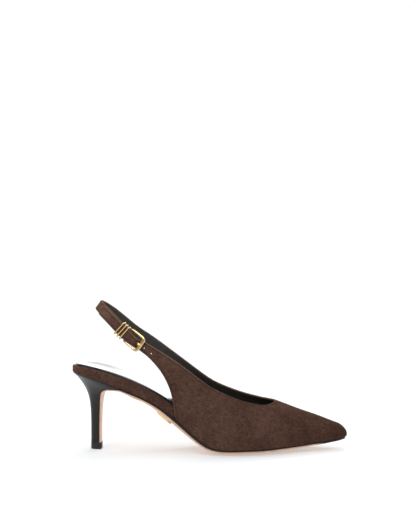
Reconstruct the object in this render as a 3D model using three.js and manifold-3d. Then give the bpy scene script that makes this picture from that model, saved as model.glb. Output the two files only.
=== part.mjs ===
// Slingback pump with a pointed toe, a slim heel and a buckled heel strap. Right foot.
// Millimetres. +X runs to the toe, +Y to the inner side of the foot, +Z is up.
// The origin is the middle of the heel tip, on the floor.
import * as THREE from "three";
import Module from "manifold-3d";
import { mergeVertices } from "three/addons/utils/BufferGeometryUtils.js";

const wasm = await Module();
wasm.setup();

// Driving sizes of the last and the sole
const toeReach = 230.4;
const seatReach = 21.7;
const heelHeight = 71;
const ballHalf = 35;
const toeSwing = 7;
const toeSpring = 6.8;
const instep = 40;
const bulge = 3.2;
const toeRound = 9;
const seatRound = 28;
const throatReach = 164.2;
const throatRound = 14;
const quarterHeight = 41.35;
const wall = 1.6;
const gap = 0.3;

// Driving sizes of the sole, the footbed and the heel
const soleLeather = 3.4;
const edgeStep = 1.8;
const soleInset = 0.8;
const edgeInset = 0.7;
const flapThickness = 1.2;
const insoleThickness = 3;
const footbedEdge = 10;
const sockThickness = 1;
const sockRecess = 1.3;
const wingReach = 24.4;
const stemBack = 4.7;
const stemFront = 3.5;
const stemHalf = 5.3;
const tipHeight = 5.9;

// Driving sizes of the heel strap and its hardware
const slingBackReach = 2.7;
const slingTop = 132.4;
const slingThickness = 2;
const slingWidth = 10.8;
const strapEndWidth = 10;
const strapTail = 27.5;
const wireRadius = 0.65;
const ringPitch = 3.1;
const frameSpan = 15.4;
const frameReach = 14.6;
const frameThickness = 1.8;
const frontBar = 3.5;
const sideBar = 1.8;
const frameCorner = 5;
const frameTaper = 0.7;
const frameLift = 0.35;
const legTaper = 0.6;
const hingeRadius = 0.7;
const sleeveWall = 0.8;
const prongWidth = 2;
const prongThickness = 1.2;
const badgeLength = 13;
const badgeWidth = 7;
const badgeThickness = 2.2;
const badgeReach = 63.3;
const badgeAcross = -8;
const badgeGap = 0.5;

// A smooth line through the rows of a table: a natural cubic with straight ends
function lineThrough(points) {
  const count = points.length;
  const bend = new Array(count).fill(0);
  const work = new Array(count).fill(0);
  for (let i = 1; i < count - 1; i += 1) {
    const before = points[i][0] - points[i - 1][0];
    const after = points[i + 1][0] - points[i][0];
    const share = before / (before + after);
    const pivot = share * bend[i - 1] + 2;
    const turn = (points[i + 1][1] - points[i][1]) / after - (points[i][1] - points[i - 1][1]) / before;
    bend[i] = (share - 1) / pivot;
    work[i] = (6 * turn / (before + after) - share * work[i - 1]) / pivot;
  }
  for (let i = count - 2; i > 0; i -= 1) bend[i] = bend[i] * bend[i + 1] + work[i];
  bend[0] = 0;
  return (at) => {
    let i = 1;
    while (i < count - 1 && at > points[i][0]) i += 1;
    const [x0, v0] = points[i - 1];
    const [x1, v1] = points[i];
    const step = x1 - x0;
    if (at < x0) return v0 + (at - x0) * ((v1 - v0) / step - step * bend[i] / 6);
    if (at > x1) return v1 + (at - x1) * ((v1 - v0) / step + step * bend[i - 1] / 6);
    const a = (x1 - at) / step;
    const b = (at - x0) / step;
    const curved = ((a * a * a - a) * bend[i - 1] + (b * b * b - b) * bend[i]) * step * step / 6;
    return a * v0 + b * v1 + curved;
  };
}

const column = (rows, name, scale = 1) =>
  lineThrough(rows.map((row) => [row.at * toeReach, row[name] * scale]));
const mix = (a, b, share) => a + (b - a) * share;
const ease = (share) => {
  const held = Math.min(1, Math.max(0, share));
  return held * held * (3 - 2 * held);
};
// A quarter round: 0 at the end, 1 from one radius on
const roundOff = (distance, radius) => {
  const share = Math.min(1, Math.max(0, distance / radius));
  return Math.sqrt(1 - (1 - share) * (1 - share));
};

// The foot's own line from the side: what upper and footbed stand on. at is a share of toeReach.
const profileRows = [
  { at: -0.094, rise: 0.937, spring: 0 },
  { at: 0, rise: 0.875, spring: 0 },
  { at: 0.087, rise: 0.775, spring: 0 },
  { at: 0.174, rise: 0.66, spring: 0 },
  { at: 0.239, rise: 0.554, spring: 0 },
  { at: 0.304, rise: 0.4075, spring: 0 },
  { at: 0.369, rise: 0.238, spring: 0 },
  { at: 0.421, rise: 0.1065, spring: 0 },
  { at: 0.46, rise: 0.034, spring: 0 },
  { at: 0.499, rise: 0.004, spring: 0 },
  { at: 0.573, rise: 0, spring: 0.006 },
  { at: 0.651, rise: 0, spring: 0.044 },
  { at: 0.729, rise: 0, spring: 0.125 },
  { at: 0.807, rise: 0, spring: 0.245 },
  { at: 0.89, rise: 0, spring: 0.478 },
  { at: 0.972, rise: 0, spring: 0.838 },
  { at: 1, rise: 0, spring: 1 },
];
const ballRise = soleLeather + edgeStep + gap;
const profile = lineThrough(profileRows.map((row) =>
  [row.at * toeReach, ballRise + row.rise * heelHeight + row.spring * toeSpring]));

// The sole line in plan: outer and inner half width as shares of ballHalf, and the swing of the toe
const outlineRows = [
  { at: -0.094, outer: 0.76, inner: 0.745, swing: 0 },
  { at: 0.02, outer: 0.775, inner: 0.755, swing: 0 },
  { at: 0.1, outer: 0.77, inner: 0.745, swing: 0 },
  { at: 0.174, outer: 0.742, inner: 0.7, swing: 0.01 },
  { at: 0.239, outer: 0.715, inner: 0.655, swing: 0.02 },
  { at: 0.304, outer: 0.7, inner: 0.623, swing: 0.04 },
  { at: 0.369, outer: 0.745, inner: 0.635, swing: 0.07 },
  { at: 0.421, outer: 0.85, inner: 0.71, swing: 0.1 },
  { at: 0.477, outer: 0.968, inner: 0.86, swing: 0.15 },
  { at: 0.543, outer: 1.03, inner: 0.972, swing: 0.22 },
  { at: 0.608, outer: 0.995, inner: 0.99, swing: 0.31 },
  { at: 0.673, outer: 0.895, inner: 0.915, swing: 0.42 },
  { at: 0.738, outer: 0.748, inner: 0.775, swing: 0.55 },
  { at: 0.807, outer: 0.573, inner: 0.598, swing: 0.7 },
  { at: 0.89, outer: 0.36, inner: 0.372, swing: 0.87 },
  { at: 0.946, outer: 0.222, inner: 0.216, swing: 0.95 },
  { at: 1, outer: 0.12, inner: 0.1, swing: 1 },
];
const outerHalf = column(outlineRows, "outer", ballHalf);
const innerHalf = column(outlineRows, "inner", ballHalf);
const swing = column(outlineRows, "swing", toeSwing);

// The last above the sole line. belly and dome are shares of instep, swell of bulge, crest of toeSwing,
// and the two open columns are the share of a right angle at which the topline cuts the dome.
const lastRows = [
  { at: 0.18, swell: 0.4, belly: 0.424, dome: 2.34, crest: 0.05, openOuter: 0.243, openInner: 0.272 },
  { at: 0.234, swell: 0.85, belly: 0.394, dome: 2.12, crest: 0.06, openOuter: 0.272, openInner: 0.294 },
  { at: 0.299, swell: 1.12, belly: 0.39, dome: 1.87, crest: 0.08, openOuter: 0.322, openInner: 0.334 },
  { at: 0.376, swell: 1.12, belly: 0.399, dome: 1.6, crest: 0.14, openOuter: 0.402, openInner: 0.41 },
  { at: 0.451, swell: 1, belly: 0.37, dome: 1.39, crest: 0.21, openOuter: 0.487, openInner: 0.498 },
  { at: 0.53, swell: 0.95, belly: 0.301, dome: 1.18, crest: 0.36, openOuter: 0.542, openInner: 0.566 },
  { at: 0.595, swell: 0.95, belly: 0.26, dome: 0.99, crest: 0.5, openOuter: 0.572, openInner: 0.63 },
  { at: 0.66, swell: 0.93, belly: 0.233, dome: 0.841, crest: 0.61, openOuter: 0.628, openInner: 0.74 },
  { at: 0.714, swell: 0.9, belly: 0.216, dome: 0.75, crest: 0.69, openOuter: 0.645, openInner: 0.79 },
  { at: 0.807, swell: 0.8, belly: 0.187, dome: 0.559, crest: 0.8, openOuter: 0.66, openInner: 0.8 },
  { at: 0.89, swell: 0.7, belly: 0.14, dome: 0.403, crest: 0.9, openOuter: 0.66, openInner: 0.8 },
  { at: 0.946, swell: 0.62, belly: 0.094, dome: 0.287, crest: 0.96, openOuter: 0.66, openInner: 0.8 },
  { at: 1, swell: 0.56, belly: 0.05, dome: 0.178, crest: 1, openOuter: 0.66, openInner: 0.8 },
];
const swell = column(lastRows, "swell", bulge);
const belly = column(lastRows, "belly", instep);
const dome = column(lastRows, "dome", instep);
const crest = column(lastRows, "crest", toeSwing);
const openAngle = {
  outer: column(lastRows, "openOuter", Math.PI / 2),
  inner: column(lastRows, "openInner", Math.PI / 2),
};
const fullness = 0.05;

const sideSign = { outer: -1, inner: 1 };
const soleLine = (side, x) => {
  const half = side === "outer" ? outerHalf(x) : innerHalf(x);
  return swing(x) + sideSign[side] * half * roundOff(toeReach - x, toeRound);
};

// One section across the last. Level -1 is the sole line, 0 the widest place, 1 the crest.
function section(side, x) {
  const toe = roundOff(toeReach - x, toeRound);
  const foot = soleLine(side, x);
  const widest = foot + sideSign[side] * swell(x) * toe;
  const low = profile(x);
  const middle = mix(profile(toeReach) + belly(toeReach), low + belly(x), toe);
  return { foot, widest, low, middle, rise: dome(x) * toe, crest: crest(x) };
}

function lastPoint(side, x, level) {
  const cut = section(side, x);
  if (level < 0) {
    const y = cut.widest + (cut.foot - cut.widest) * level * level;
    return new THREE.Vector3(x, y, cut.middle + (cut.middle - cut.low) * level);
  }
  const angle = level * Math.PI / 2;
  const spread = Math.cos(angle) * (1 + fullness * Math.sin(angle) ** 2);
  return new THREE.Vector3(x, mix(cut.crest, cut.widest, spread), cut.middle + cut.rise * Math.sin(angle));
}

function levelAtHeight(side, x, z) {
  const cut = section(side, x);
  if (z < cut.middle) return (z - cut.middle) / (cut.middle - cut.low);
  return Math.asin(Math.min(1, (z - cut.middle) / cut.rise)) / (Math.PI / 2);
}

function topLevel(side, x) {
  const closing = roundOff(throatReach - x, throatRound);
  return x >= throatReach ? 1 : 1 - (1 - openAngle[side](x) / (Math.PI / 2)) * closing;
}

// The quarter's rear edge. at and top are shares of toeReach, and up and lift are shares of quarterHeight:
// a row runs from the edge at (at, up) to the topline at top, and lift raises the inner side's edge.
const rearRows = [
  { at: 0.1845, up: 1, lift: 0.056, top: 0.2075 },
  { at: 0.2083, up: 0.9617, lift: 0.04, top: 0.232 },
  { at: 0.2283, up: 0.9224, lift: 0.024, top: 0.2565 },
  { at: 0.2483, up: 0.8687, lift: 0.01, top: 0.282 },
  { at: 0.2674, up: 0.8077, lift: 0.002, top: 0.3075 },
  { at: 0.286, up: 0.7127, lift: 0, top: 0.334 },
  { at: 0.3015, up: 0.586, lift: 0, top: 0.358 },
  { at: 0.312, up: 0.4381, lift: 0, top: 0.38 },
  { at: 0.3185, up: 0.2791, lift: 0, top: 0.4 },
  { at: 0.323, up: 0.1248, lift: 0, top: 0.418 },
  { at: 0.3272, up: 0, lift: 0, top: 0.434 },
];
const fanRows = [
  { at: 0.345, top: 0.448 },
  { at: 0.368, top: 0.464 },
  { at: 0.394, top: 0.482 },
  { at: 0.424, top: 0.502 },
  { at: 0.458, top: 0.525 },
  { at: 0.496, top: 0.552 },
  { at: 0.536, top: 0.582 },
];
const throatSteps = 7;
const vampSteps = 15;
const rowSteps = 10;

// Rows of the upper from the strap end's root to the toe: where each starts and where it ends
function upperStations(side) {
  const edge = rearRows.map((row) => {
    const x = row.at * toeReach;
    const up = row.up + (side === "inner" ? row.lift : 0);
    const level = up > 0 ? levelAtHeight(side, x, profile(x) + up * quarterHeight) : -1;
    return { low: x, level, top: row.top * toeReach };
  });
  const fan = fanRows.map((row) => ({ low: row.at * toeReach, level: -1, top: row.top * toeReach }));
  const start = fan[fan.length - 1];
  const stations = [...edge, ...fan];
  for (let i = 1; i <= throatSteps; i += 1) {
    const share = 1 - (1 - i / throatSteps) ** 1.7;
    const low = mix(start.low, throatReach, share);
    stations.push({ low, level: -1, top: mix(start.top, throatReach, share) });
  }
  for (let i = 1; i <= vampSteps; i += 1) {
    const x = mix(throatReach, toeReach, 1 - (1 - i / vampSteps) ** 1.8);
    stations.push({ low: x, level: -1, top: x });
  }
  return stations;
}

// One row of the upper, with its points evenly spaced along the surface
function upperRow(side, station) {
  const fine = 60;
  const end = topLevel(side, station.top);
  const points = [];
  const along = [0];
  for (let i = 0; i <= fine; i += 1) {
    const x = mix(station.low, station.top, i / fine);
    points.push(lastPoint(side, x, mix(station.level, end, i / fine)));
    if (i > 0) along.push(along[i - 1] + points[i].distanceTo(points[i - 1]));
  }
  const row = [];
  for (let j = 0; j <= rowSteps; j += 1) {
    const target = along[fine] * j / rowSteps;
    let i = 1;
    while (i < fine && along[i] < target) i += 1;
    const span = along[i] - along[i - 1];
    const share = span > 0 ? (target - along[i - 1]) / span : 0;
    const level = mix(station.level, end, (i - 1 + share) / fine);
    row.push(lastPoint(side, mix(station.low, station.top, (i - 1 + share) / fine), level));
  }
  return row;
}

// The heel strap's centre line: half an ellipse in plan, from the outer quarter round to the inner one
const slingRows = [
  { reach: 0, drop: 0 },
  { reach: 0.25, drop: 0.253 },
  { reach: 0.5, drop: 0.538 },
  { reach: 0.705, drop: 0.755 },
  { reach: 1, drop: 1 },
];
const slingDrop = lineThrough(slingRows.map((row) => [row.reach, row.drop]));
const strapLift = slingThickness / 2 + gap + wall / 2;

function quarterRoot(side) {
  const row = upperRow(side, upperStations(side)[0]);
  const middle = row[0].clone().add(row[rowSteps]).multiplyScalar(0.5);
  const width = row[0].distanceTo(row[rowSteps]);
  const surface = side === "outer" ? wall / 2 + strapLift : wall / 2;
  const lean = new THREE.Vector3(row[rowSteps].x - row[0].x, 0, row[rowSteps].z - row[0].z).normalize();
  return { x: middle.x, z: middle.z, half: Math.abs(middle.y) - surface, width, lean };
}
const root = { outer: quarterRoot("outer"), inner: quarterRoot("inner") };
const strapLean = new THREE.Vector3(0.585, 0, 0.811).normalize();

// Turn runs from -1 at the outer quarter through 0 at the back to 1 at the inner quarter
function slingCentre(turn) {
  const end = turn < 0 ? root.outer : root.inner;
  const angle = turn * Math.PI / 2;
  const share = 1 - Math.cos(angle);
  return new THREE.Vector3(
    mix(slingBackReach, end.x, share),
    end.half * Math.sin(angle),
    mix(slingTop, end.z, slingDrop(share)),
  );
}

function slingFrame(turn) {
  const step = 0.002;
  const centre = slingCentre(turn);
  const before = slingCentre(Math.max(-1, turn - step));
  const along = slingCentre(Math.min(1, turn + step)).sub(before).normalize();
  const rootLean = turn < 0 ? root.outer.lean : root.inner.lean;
  const lean = strapLean.clone().lerp(rootLean, ease((Math.abs(turn) - 0.6) / 0.4)).normalize();
  const away = lean.clone().addScaledVector(along, -lean.dot(along)).normalize();
  const across = away.lerp(lean, ease((Math.abs(turn) - 0.85) / 0.15)).normalize();
  const out = new THREE.Vector3().crossVectors(across, along).normalize();
  return { centre, along, across, out };
}

function bandPoint(turn, across, out) {
  const frame = slingFrame(turn);
  return frame.centre.clone().addScaledVector(frame.across, across).addScaledVector(frame.out, out);
}

// Turn at a distance along the strap, measured from the outer quarter
function turnAfter(distance) {
  const step = 0.001;
  let turn = -1;
  let gone = 0;
  let last = slingCentre(turn);
  while (gone < distance && turn < 1) {
    turn += step;
    const next = slingCentre(turn);
    gone += next.distanceTo(last);
    last = next;
  }
  return turn;
}

// A closed solid from triangles given as vertex triples, with its vertices merged
function solidFrom(triangles) {
  const flat = new Float32Array(triangles.length * 9);
  triangles.forEach((triangle, i) => triangle.forEach((point, k) => point.toArray(flat, i * 9 + k * 3)));
  const geometry = new THREE.BufferGeometry();
  geometry.setAttribute("position", new THREE.BufferAttribute(flat, 3));
  const merged = mergeVertices(geometry, 1e-4);
  const index = merged.index.array;
  const kept = [];
  for (let i = 0; i < index.length; i += 3) {
    const [a, b, c] = [index[i], index[i + 1], index[i + 2]];
    if (a !== b && b !== c && a !== c) kept.push(a, b, c);
  }
  merged.setIndex(kept);
  return merged;
}

function quad(triangles, a, b, c, d) {
  triangles.push([a, b, c], [a, c, d]);
}

// Triangles of a surface laid over rows of points
function surfaceOver(rows, flipped = false) {
  const triangles = [];
  for (let i = 1; i < rows.length; i += 1) {
    for (let j = 1; j < rows[i].length; j += 1) {
      const corners = [rows[i - 1][j - 1], rows[i][j - 1], rows[i][j], rows[i - 1][j]];
      if (flipped) corners.reverse();
      quad(triangles, ...corners);
    }
  }
  return triangles;
}

// Gives a surface a thickness towards its inner side and closes it along its open edges
function thicken(triangles, thickness) {
  const sheet = solidFrom(triangles);
  sheet.computeVertexNormals();
  const place = sheet.getAttribute("position");
  const normal = sheet.getAttribute("normal");
  const outer = [];
  const inner = [];
  for (let i = 0; i < place.count; i += 1) {
    const point = new THREE.Vector3().fromBufferAttribute(place, i);
    const facing = new THREE.Vector3().fromBufferAttribute(normal, i);
    outer.push(point);
    inner.push(point.clone().addScaledVector(facing, -thickness));
  }
  const index = sheet.index.array;
  const used = new Set();
  for (let i = 0; i < index.length; i += 3) {
    for (let k = 0; k < 3; k += 1) used.add(`${index[i + k]} ${index[i + (k + 1) % 3]}`);
  }
  const closed = [];
  for (let i = 0; i < index.length; i += 3) {
    const [a, b, c] = [index[i], index[i + 1], index[i + 2]];
    closed.push([outer[a], outer[b], outer[c]], [inner[a], inner[c], inner[b]]);
    for (let k = 0; k < 3; k += 1) {
      const from = index[i + k];
      const to = index[i + (k + 1) % 3];
      if (!used.has(`${to} ${from}`)) quad(closed, outer[to], outer[from], inner[from], inner[to]);
    }
  }
  return solidFrom(closed);
}

// A closed solid through rings of points, each ring a closed outline with as many points as the next
function loft(rings) {
  const triangles = [];
  const count = rings[0].length;
  for (let i = 1; i < rings.length; i += 1) {
    for (let j = 0; j < count; j += 1) {
      const k = (j + 1) % count;
      quad(triangles, rings[i - 1][j], rings[i - 1][k], rings[i][k], rings[i][j]);
    }
  }
  const cap = (ring, reversed) => {
    const normal = new THREE.Vector3();
    const span = new THREE.Vector3();
    for (let j = 1; j < count - 1; j += 1) {
      const first = ring[j].clone().sub(ring[0]);
      span.crossVectors(first, ring[j + 1].clone().sub(ring[0]));
      normal.add(span);
    }
    normal.normalize();
    const side = Math.abs(normal.x) < 0.8 ? new THREE.Vector3(1, 0, 0) : new THREE.Vector3(0, 1, 0);
    const u = new THREE.Vector3().crossVectors(side, normal).normalize();
    const v = new THREE.Vector3().crossVectors(normal, u);
    const flat = ring.map((point) => new THREE.Vector2(point.dot(u), point.dot(v)));
    THREE.ShapeUtils.triangulateShape(flat, []).forEach((face) => {
      const corners = face.map((corner) => ring[corner]);
      if (reversed) corners.reverse();
      triangles.push(corners);
    });
  };
  cap(rings[0], true);
  cap(rings[rings.length - 1], false);
  return facingOut(solidFrom(triangles));
}

function facingOut(geometry) {
  const place = geometry.getAttribute("position");
  const index = geometry.index.array;
  let volume = 0;
  for (let i = 0; i < index.length; i += 3) {
    const [a, b, c] = [0, 1, 2].map((k) => new THREE.Vector3().fromBufferAttribute(place, index[i + k]));
    volume += a.dot(b.cross(c)) / 6;
  }
  if (volume < 0) {
    const turned = Array.from(index);
    for (let i = 0; i < turned.length; i += 3) turned.splice(i, 3, turned[i], turned[i + 2], turned[i + 1]);
    geometry.setIndex(turned);
  }
  return geometry;
}

function toManifold(geometry) {
  const plain = geometry.index ? geometry : weld(geometry);
  return new wasm.Manifold(new wasm.Mesh({
    numProp: 3,
    vertProperties: new Float32Array(plain.getAttribute("position").array),
    triVerts: new Uint32Array(plain.index.array),
  }));
}

function weld(geometry) {
  const plain = geometry.clone();
  plain.deleteAttribute("normal");
  plain.deleteAttribute("uv");
  return mergeVertices(plain, 1e-4);
}

function toGeometry(manifold) {
  const mesh = manifold.getMesh();
  const geometry = new THREE.BufferGeometry();
  const places = new Float32Array(mesh.numVert * 3);
  for (let i = 0; i < mesh.numVert; i += 1) {
    for (let k = 0; k < 3; k += 1) places[i * 3 + k] = mesh.vertProperties[i * mesh.numProp + k];
  }
  geometry.setAttribute("position", new THREE.BufferAttribute(places, 3));
  geometry.setIndex(Array.from(mesh.triVerts));
  return geometry;
}

// A wire loop of round section along a closed path
function wireLoop(path, radius, sides = 8) {
  const count = path.length;
  const rings = path.map((point, i) => {
    const along = path[(i + 1) % count].clone().sub(path[(i + count - 1) % count]).normalize();
    const middle = path.reduce((sum, other) => sum.add(other), new THREE.Vector3()).divideScalar(count);
    const away = point.clone().sub(middle);
    const first = away.addScaledVector(along, -away.dot(along)).normalize();
    const second = new THREE.Vector3().crossVectors(along, first);
    return Array.from({ length: sides }, (_, k) => {
      const angle = 2 * Math.PI * k / sides;
      return point.clone()
        .addScaledVector(first, radius * Math.cos(angle))
        .addScaledVector(second, radius * Math.sin(angle));
    });
  });
  const triangles = [];
  rings.forEach((ring, i) => {
    const next = rings[(i + 1) % count];
    ring.forEach((point, k) => {
      const l = (k + 1) % sides;
      quad(triangles, point, next[k], next[l], ring[l]);
    });
  });
  return facingOut(solidFrom(triangles));
}

// Distances to the strap's hardware, along the strap from the outer quarter's root
const frontBarAt = 1.6;
const hingeAt = frontBarAt + frameReach;
const firstRingAt = hingeAt + 3.4;
const strapEndLength = firstRingAt + 2 * ringPitch + strapTail;
// The hinge bar lies in a fold of the heel strap, whose outer face stays flush with the strap
const foldRadius = hingeRadius + gap + sleeveWall;
const hingeOut = slingThickness / 2 - foldRadius;
const slotStart = 7.2;
const slotEnd = 11.4;

// The strap end's two edges: at is a share of the way to the hinge bar, top and low are shares of its
// half width. It is drawn down inside the buckle, and leaves the heel strap's upper rim bare beyond it.
const strapEdgeRows = [
  { at: 0, top: 0.92, low: 0.92 },
  { at: 0.35, top: 0.68, low: 1.04 },
  { at: 0.7, top: 0.7, low: 1.06 },
  { at: 1, top: 0.8, low: 1.07 },
  { at: 1.35, top: 0.85, low: 1.06 },
  { at: 3.4, top: 0.85, low: 1.06 },
];
const strapEdge = (name) =>
  lineThrough(strapEdgeRows.map((row) => [row.at * hingeAt, row[name] * strapEndWidth / 2]));
const strapTopEdge = strapEdge("top");
const strapLowEdge = strapEdge("low");
const rootEase = 4;

// The outer quarter's long strap end, from its rounded tip down to the quarter
function strapEndRows() {
  const roundSteps = [0.12, 0.7, 1.9, 3.6];
  const straightSteps = 16;
  const last = roundSteps[roundSteps.length - 1];
  const distances = [...roundSteps];
  for (let i = 1; i < straightSteps; i += 1) distances.push(mix(last, strapEndLength, i / straightSteps));
  return distances.map((fromTip) => {
    const fromRoot = strapEndLength - fromTip;
    const share = ease(fromRoot / rootEase);
    const top = mix(root.outer.width / 2, strapTopEdge(fromRoot), share);
    const low = mix(root.outer.width / 2, strapLowEdge(fromRoot), share);
    const middle = (top - low) / 2;
    const half = (top + low) / 2 * roundOff(fromTip, strapEndWidth / 2);
    const turn = turnAfter(fromRoot);
    return Array.from({ length: rowSteps + 1 }, (_, j) =>
      bandPoint(turn, middle + half * (2 * j / rowSteps - 1), strapLift + wall / 2));
  });
}

// Near the strap end's root the quarter lies flat in the strap's own plane
const rootBlend = 5;
function quarterRows(side) {
  const flat = sideSign[side] * (root[side].half + (side === "outer" ? strapLift + wall / 2 : wall / 2));
  return upperStations(side).map((station, i) => {
    const row = upperRow(side, station);
    const share = ease(i / rootBlend);
    row.forEach((point) => { point.y = mix(flat, point.y, share); });
    return row;
  });
}

// A block or a round bar in the strap's own directions, at a distance from the outer quarter's root
function inStrap(geometry, distance, out) {
  const frame = slingFrame(turnAfter(distance));
  const basis = new THREE.Matrix4().makeBasis(frame.along, frame.across, frame.out);
  basis.setPosition(frame.centre.clone().addScaledVector(frame.out, out));
  return toManifold(facingOut(weld(geometry).applyMatrix4(basis)));
}

function upper() {
  const outerRows = [...strapEndRows(), ...quarterRows("outer")];
  const triangles = [...surfaceOver(outerRows), ...surfaceOver(quarterRows("inner"), true)];
  const slotLength = slotEnd - slotStart;
  const slot = new THREE.BoxGeometry(slotLength, prongWidth + 2 * gap, wall * 4);
  const slotAt = hingeAt - (slotStart + slotEnd) / 2;
  return toGeometry(toManifold(facingOut(thicken(triangles, wall))).subtract(inStrap(slot, slotAt, strapLift)));
}

// The outline that the footbed fills: the sole line itself where it shows, and inside the upper from there
const coverStart = rearRows[rearRows.length - 1].at * toeReach;
const hideLength = 26;
const footbedInset = (x) => (wall + gap + 0.15) * ease((x - coverStart + hideLength) / hideLength);

function outlinePoint(side, x, inset) {
  const step = 0.05;
  const slope = (soleLine(side, x + step) - soleLine(side, x - step)) / (2 * step);
  const length = Math.hypot(1, slope);
  return { x: x + sideSign[side] * slope * inset / length, y: soleLine(side, x) - sideSign[side] * inset / length };
}

function seatHalf(side, x) {
  return Math.abs(soleLine(side, x)) * roundOff(x + seatReach, seatRound);
}

// Stations from the back of the seat to the toe, close together at both round ends
function soleStations(from, to, count, backPower) {
  return Array.from({ length: count + 1 }, (_, i) => {
    const share = i / count;
    const back = share ** backPower;
    const front = 1 - (1 - share) ** 1.9;
    return mix(from, to, mix(back, front, ease(share)));
  });
}

const footbedRows = [
  { at: -0.094, thick: 0.32 },
  { at: -0.055, thick: 0.566 },
  { at: 0, thick: 0.719 },
  { at: 0.087, thick: 0.941 },
  { at: 0.174, thick: 0.964 },
  { at: 0.239, thick: 0.945 },
  { at: 0.304, thick: 0.98 },
  { at: 0.369, thick: 0.8 },
  { at: 0.421, thick: 0.445 },
  { at: 0.477, thick: 0.11 },
  { at: 0.56, thick: 0 },
  { at: 1, thick: 0 },
];
const footbedShare = column(footbedRows, "thick");
const footbedTop = (x) => profile(x) + insoleThickness + (footbedEdge - insoleThickness) * footbedShare(x);
const rimShare = 0.93;
const recessShare = 0.89;
const sockShare = 0.865;

function footbedEdgePoint(side, x) {
  const inset = footbedInset(x);
  const point = outlinePoint(side, x, inset);
  const rounded = roundOff(x + seatReach, seatRound);
  return { x: mix(x, point.x, ease(inset)), y: point.y * rounded };
}

function acrossFootbed(x, share) {
  const left = footbedEdgePoint("outer", x);
  const right = footbedEdgePoint("inner", x);
  const place = (share + 1) / 2;
  return { x: mix(left.x, right.x, place), y: mix(left.y, right.y, place) };
}

const endMargin = 0.25;
const footbedFront = toeReach - wall - gap - 1.1;
const footbedStations = soleStations(-seatReach + endMargin, footbedFront, 40, 1.8);
const sockStations = footbedStations.slice(3, -3);

function footbed() {
  const across = [-1, -rimShare, -recessShare, -0.45, 0, 0.45, recessShare, rimShare, 1];
  const rings = footbedStations.map((x) => {
    const top = across.map((share) => {
      const place = acrossFootbed(x, share);
      const sunk = Math.abs(share) <= recessShare ? sockRecess : 0;
      return new THREE.Vector3(place.x, place.y, footbedTop(place.x) - sunk);
    });
    const under = [1, 0, -1].map((share) => {
      const place = acrossFootbed(x, share);
      return new THREE.Vector3(place.x, place.y, profile(place.x));
    });
    return [...top, ...under];
  });
  return loft(rings);
}

function sockLining() {
  const across = [-sockShare, -0.45, 0, 0.45, sockShare];
  const rings = sockStations.map((x) => {
    const level = (share, lift) => {
      const place = acrossFootbed(x, share);
      return new THREE.Vector3(place.x, place.y, footbedTop(place.x) - sockRecess + gap + lift);
    };
    const top = across.map((share) => level(share, sockThickness));
    const under = [...across].reverse().map((share) => level(share, 0));
    return [...top, ...under];
  });
  return loft(rings);
}

// The heel from its stem to the seat. back and front go from the stem (0) to the seat's ends (1), the two
// height columns are shares of the heights of those ends, and wide goes from the stem's half width.
const heelRows = [
  { at: 0, back: 0, front: 0, backRise: 0.088, frontRise: 0.113, wide: 0 },
  { at: 0.14, back: 0, front: 0, backRise: 0.24, frontRise: 0.3, wide: 0 },
  { at: 0.3, back: 0.012, front: 0.01, backRise: 0.427, frontRise: 0.52, wide: 0.018 },
  { at: 0.44, back: 0.06, front: 0.032, backRise: 0.583, frontRise: 0.705, wide: 0.085 },
  { at: 0.56, back: 0.17, front: 0.068, backRise: 0.704, frontRise: 0.845, wide: 0.225 },
  { at: 0.67, back: 0.35, front: 0.155, backRise: 0.8, frontRise: 0.937, wide: 0.44 },
  { at: 0.78, back: 0.57, front: 0.36, backRise: 0.88, frontRise: 0.988, wide: 0.67 },
  { at: 0.9, back: 0.8, front: 0.66, backRise: 0.95, frontRise: 1.003, wide: 0.875 },
  { at: 1, back: 0.965, front: 1, backRise: 0.985, frontRise: 1, wide: 0.985 },
];
const heelColumn = (name) => lineThrough(heelRows.map((row) => [row.at, row[name]]));
const heelBack = heelColumn("back");
const heelFront = heelColumn("front");
const heelBackRise = heelColumn("backRise");
const heelFrontRise = heelColumn("frontRise");
const heelWide = heelColumn("wide");
const seatEdge = seatReach - soleInset;
const wingHalf = (side) => Math.abs(outlinePoint(side, wingReach, soleInset).y);
const wingUnder = profile(wingReach) - gap - edgeStep;
const stemRound = 2.1;

const breastPoint = (at) => new THREE.Vector2(
  mix(stemFront, wingReach, heelFront(at)),
  wingUnder * heelFrontRise(at),
);
const heelHalf = (side, at) => mix(stemHalf, wingHalf(side), heelWide(at));

function heelRing(at, sides) {
  const back = new THREE.Vector2(-mix(stemBack, seatEdge, heelBack(at)), 0);
  back.y = heelBackRise(at) * (profile(-seatEdge) - gap);
  const front = breastPoint(at);
  const seatLike = ease((at - 0.72) / 0.28);
  const ring = [];
  const place = (side, angle) => {
    const deep = Math.sin(angle) ** (2 / stemRound);
    const x = mix(front.x, back.x, deep);
    const round = heelHalf(side, at) * Math.cos(angle) ** (2 / stemRound);
    const seatX = mix(wingReach, -seatEdge, deep);
    const seat = seatHalf(side, seatX) * heelHalf(side, at) / Math.abs(soleLine(side, wingReach));
    const half = mix(round, Math.max(0, seat), seatLike);
    const bow = (profile(seatX) - profile(wingReach) - deep * (profile(-seatEdge) - profile(wingReach)));
    return new THREE.Vector3(x, sideSign[side] * half, mix(front.y, back.y, deep) + bow * seatLike);
  };
  for (let i = 0; i <= sides; i += 1) ring.push(place("outer", (Math.PI / 2) * i / sides));
  for (let i = sides - 1; i >= 0; i -= 1) ring.push(place("inner", (Math.PI / 2) * i / sides));
  return ring;
}

function heel() {
  const steps = 20;
  const sides = 9;
  const rings = Array.from({ length: steps + 1 }, (_, i) => heelRing(i / steps, sides));
  const top = rings[steps].map((point) =>
    new THREE.Vector3(point.x, point.y, profile(point.x) - gap));
  const lowest = tipHeight + gap;
  rings[0].forEach((point) => { point.z = lowest; });
  return loft([...rings, top]);
}

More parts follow.
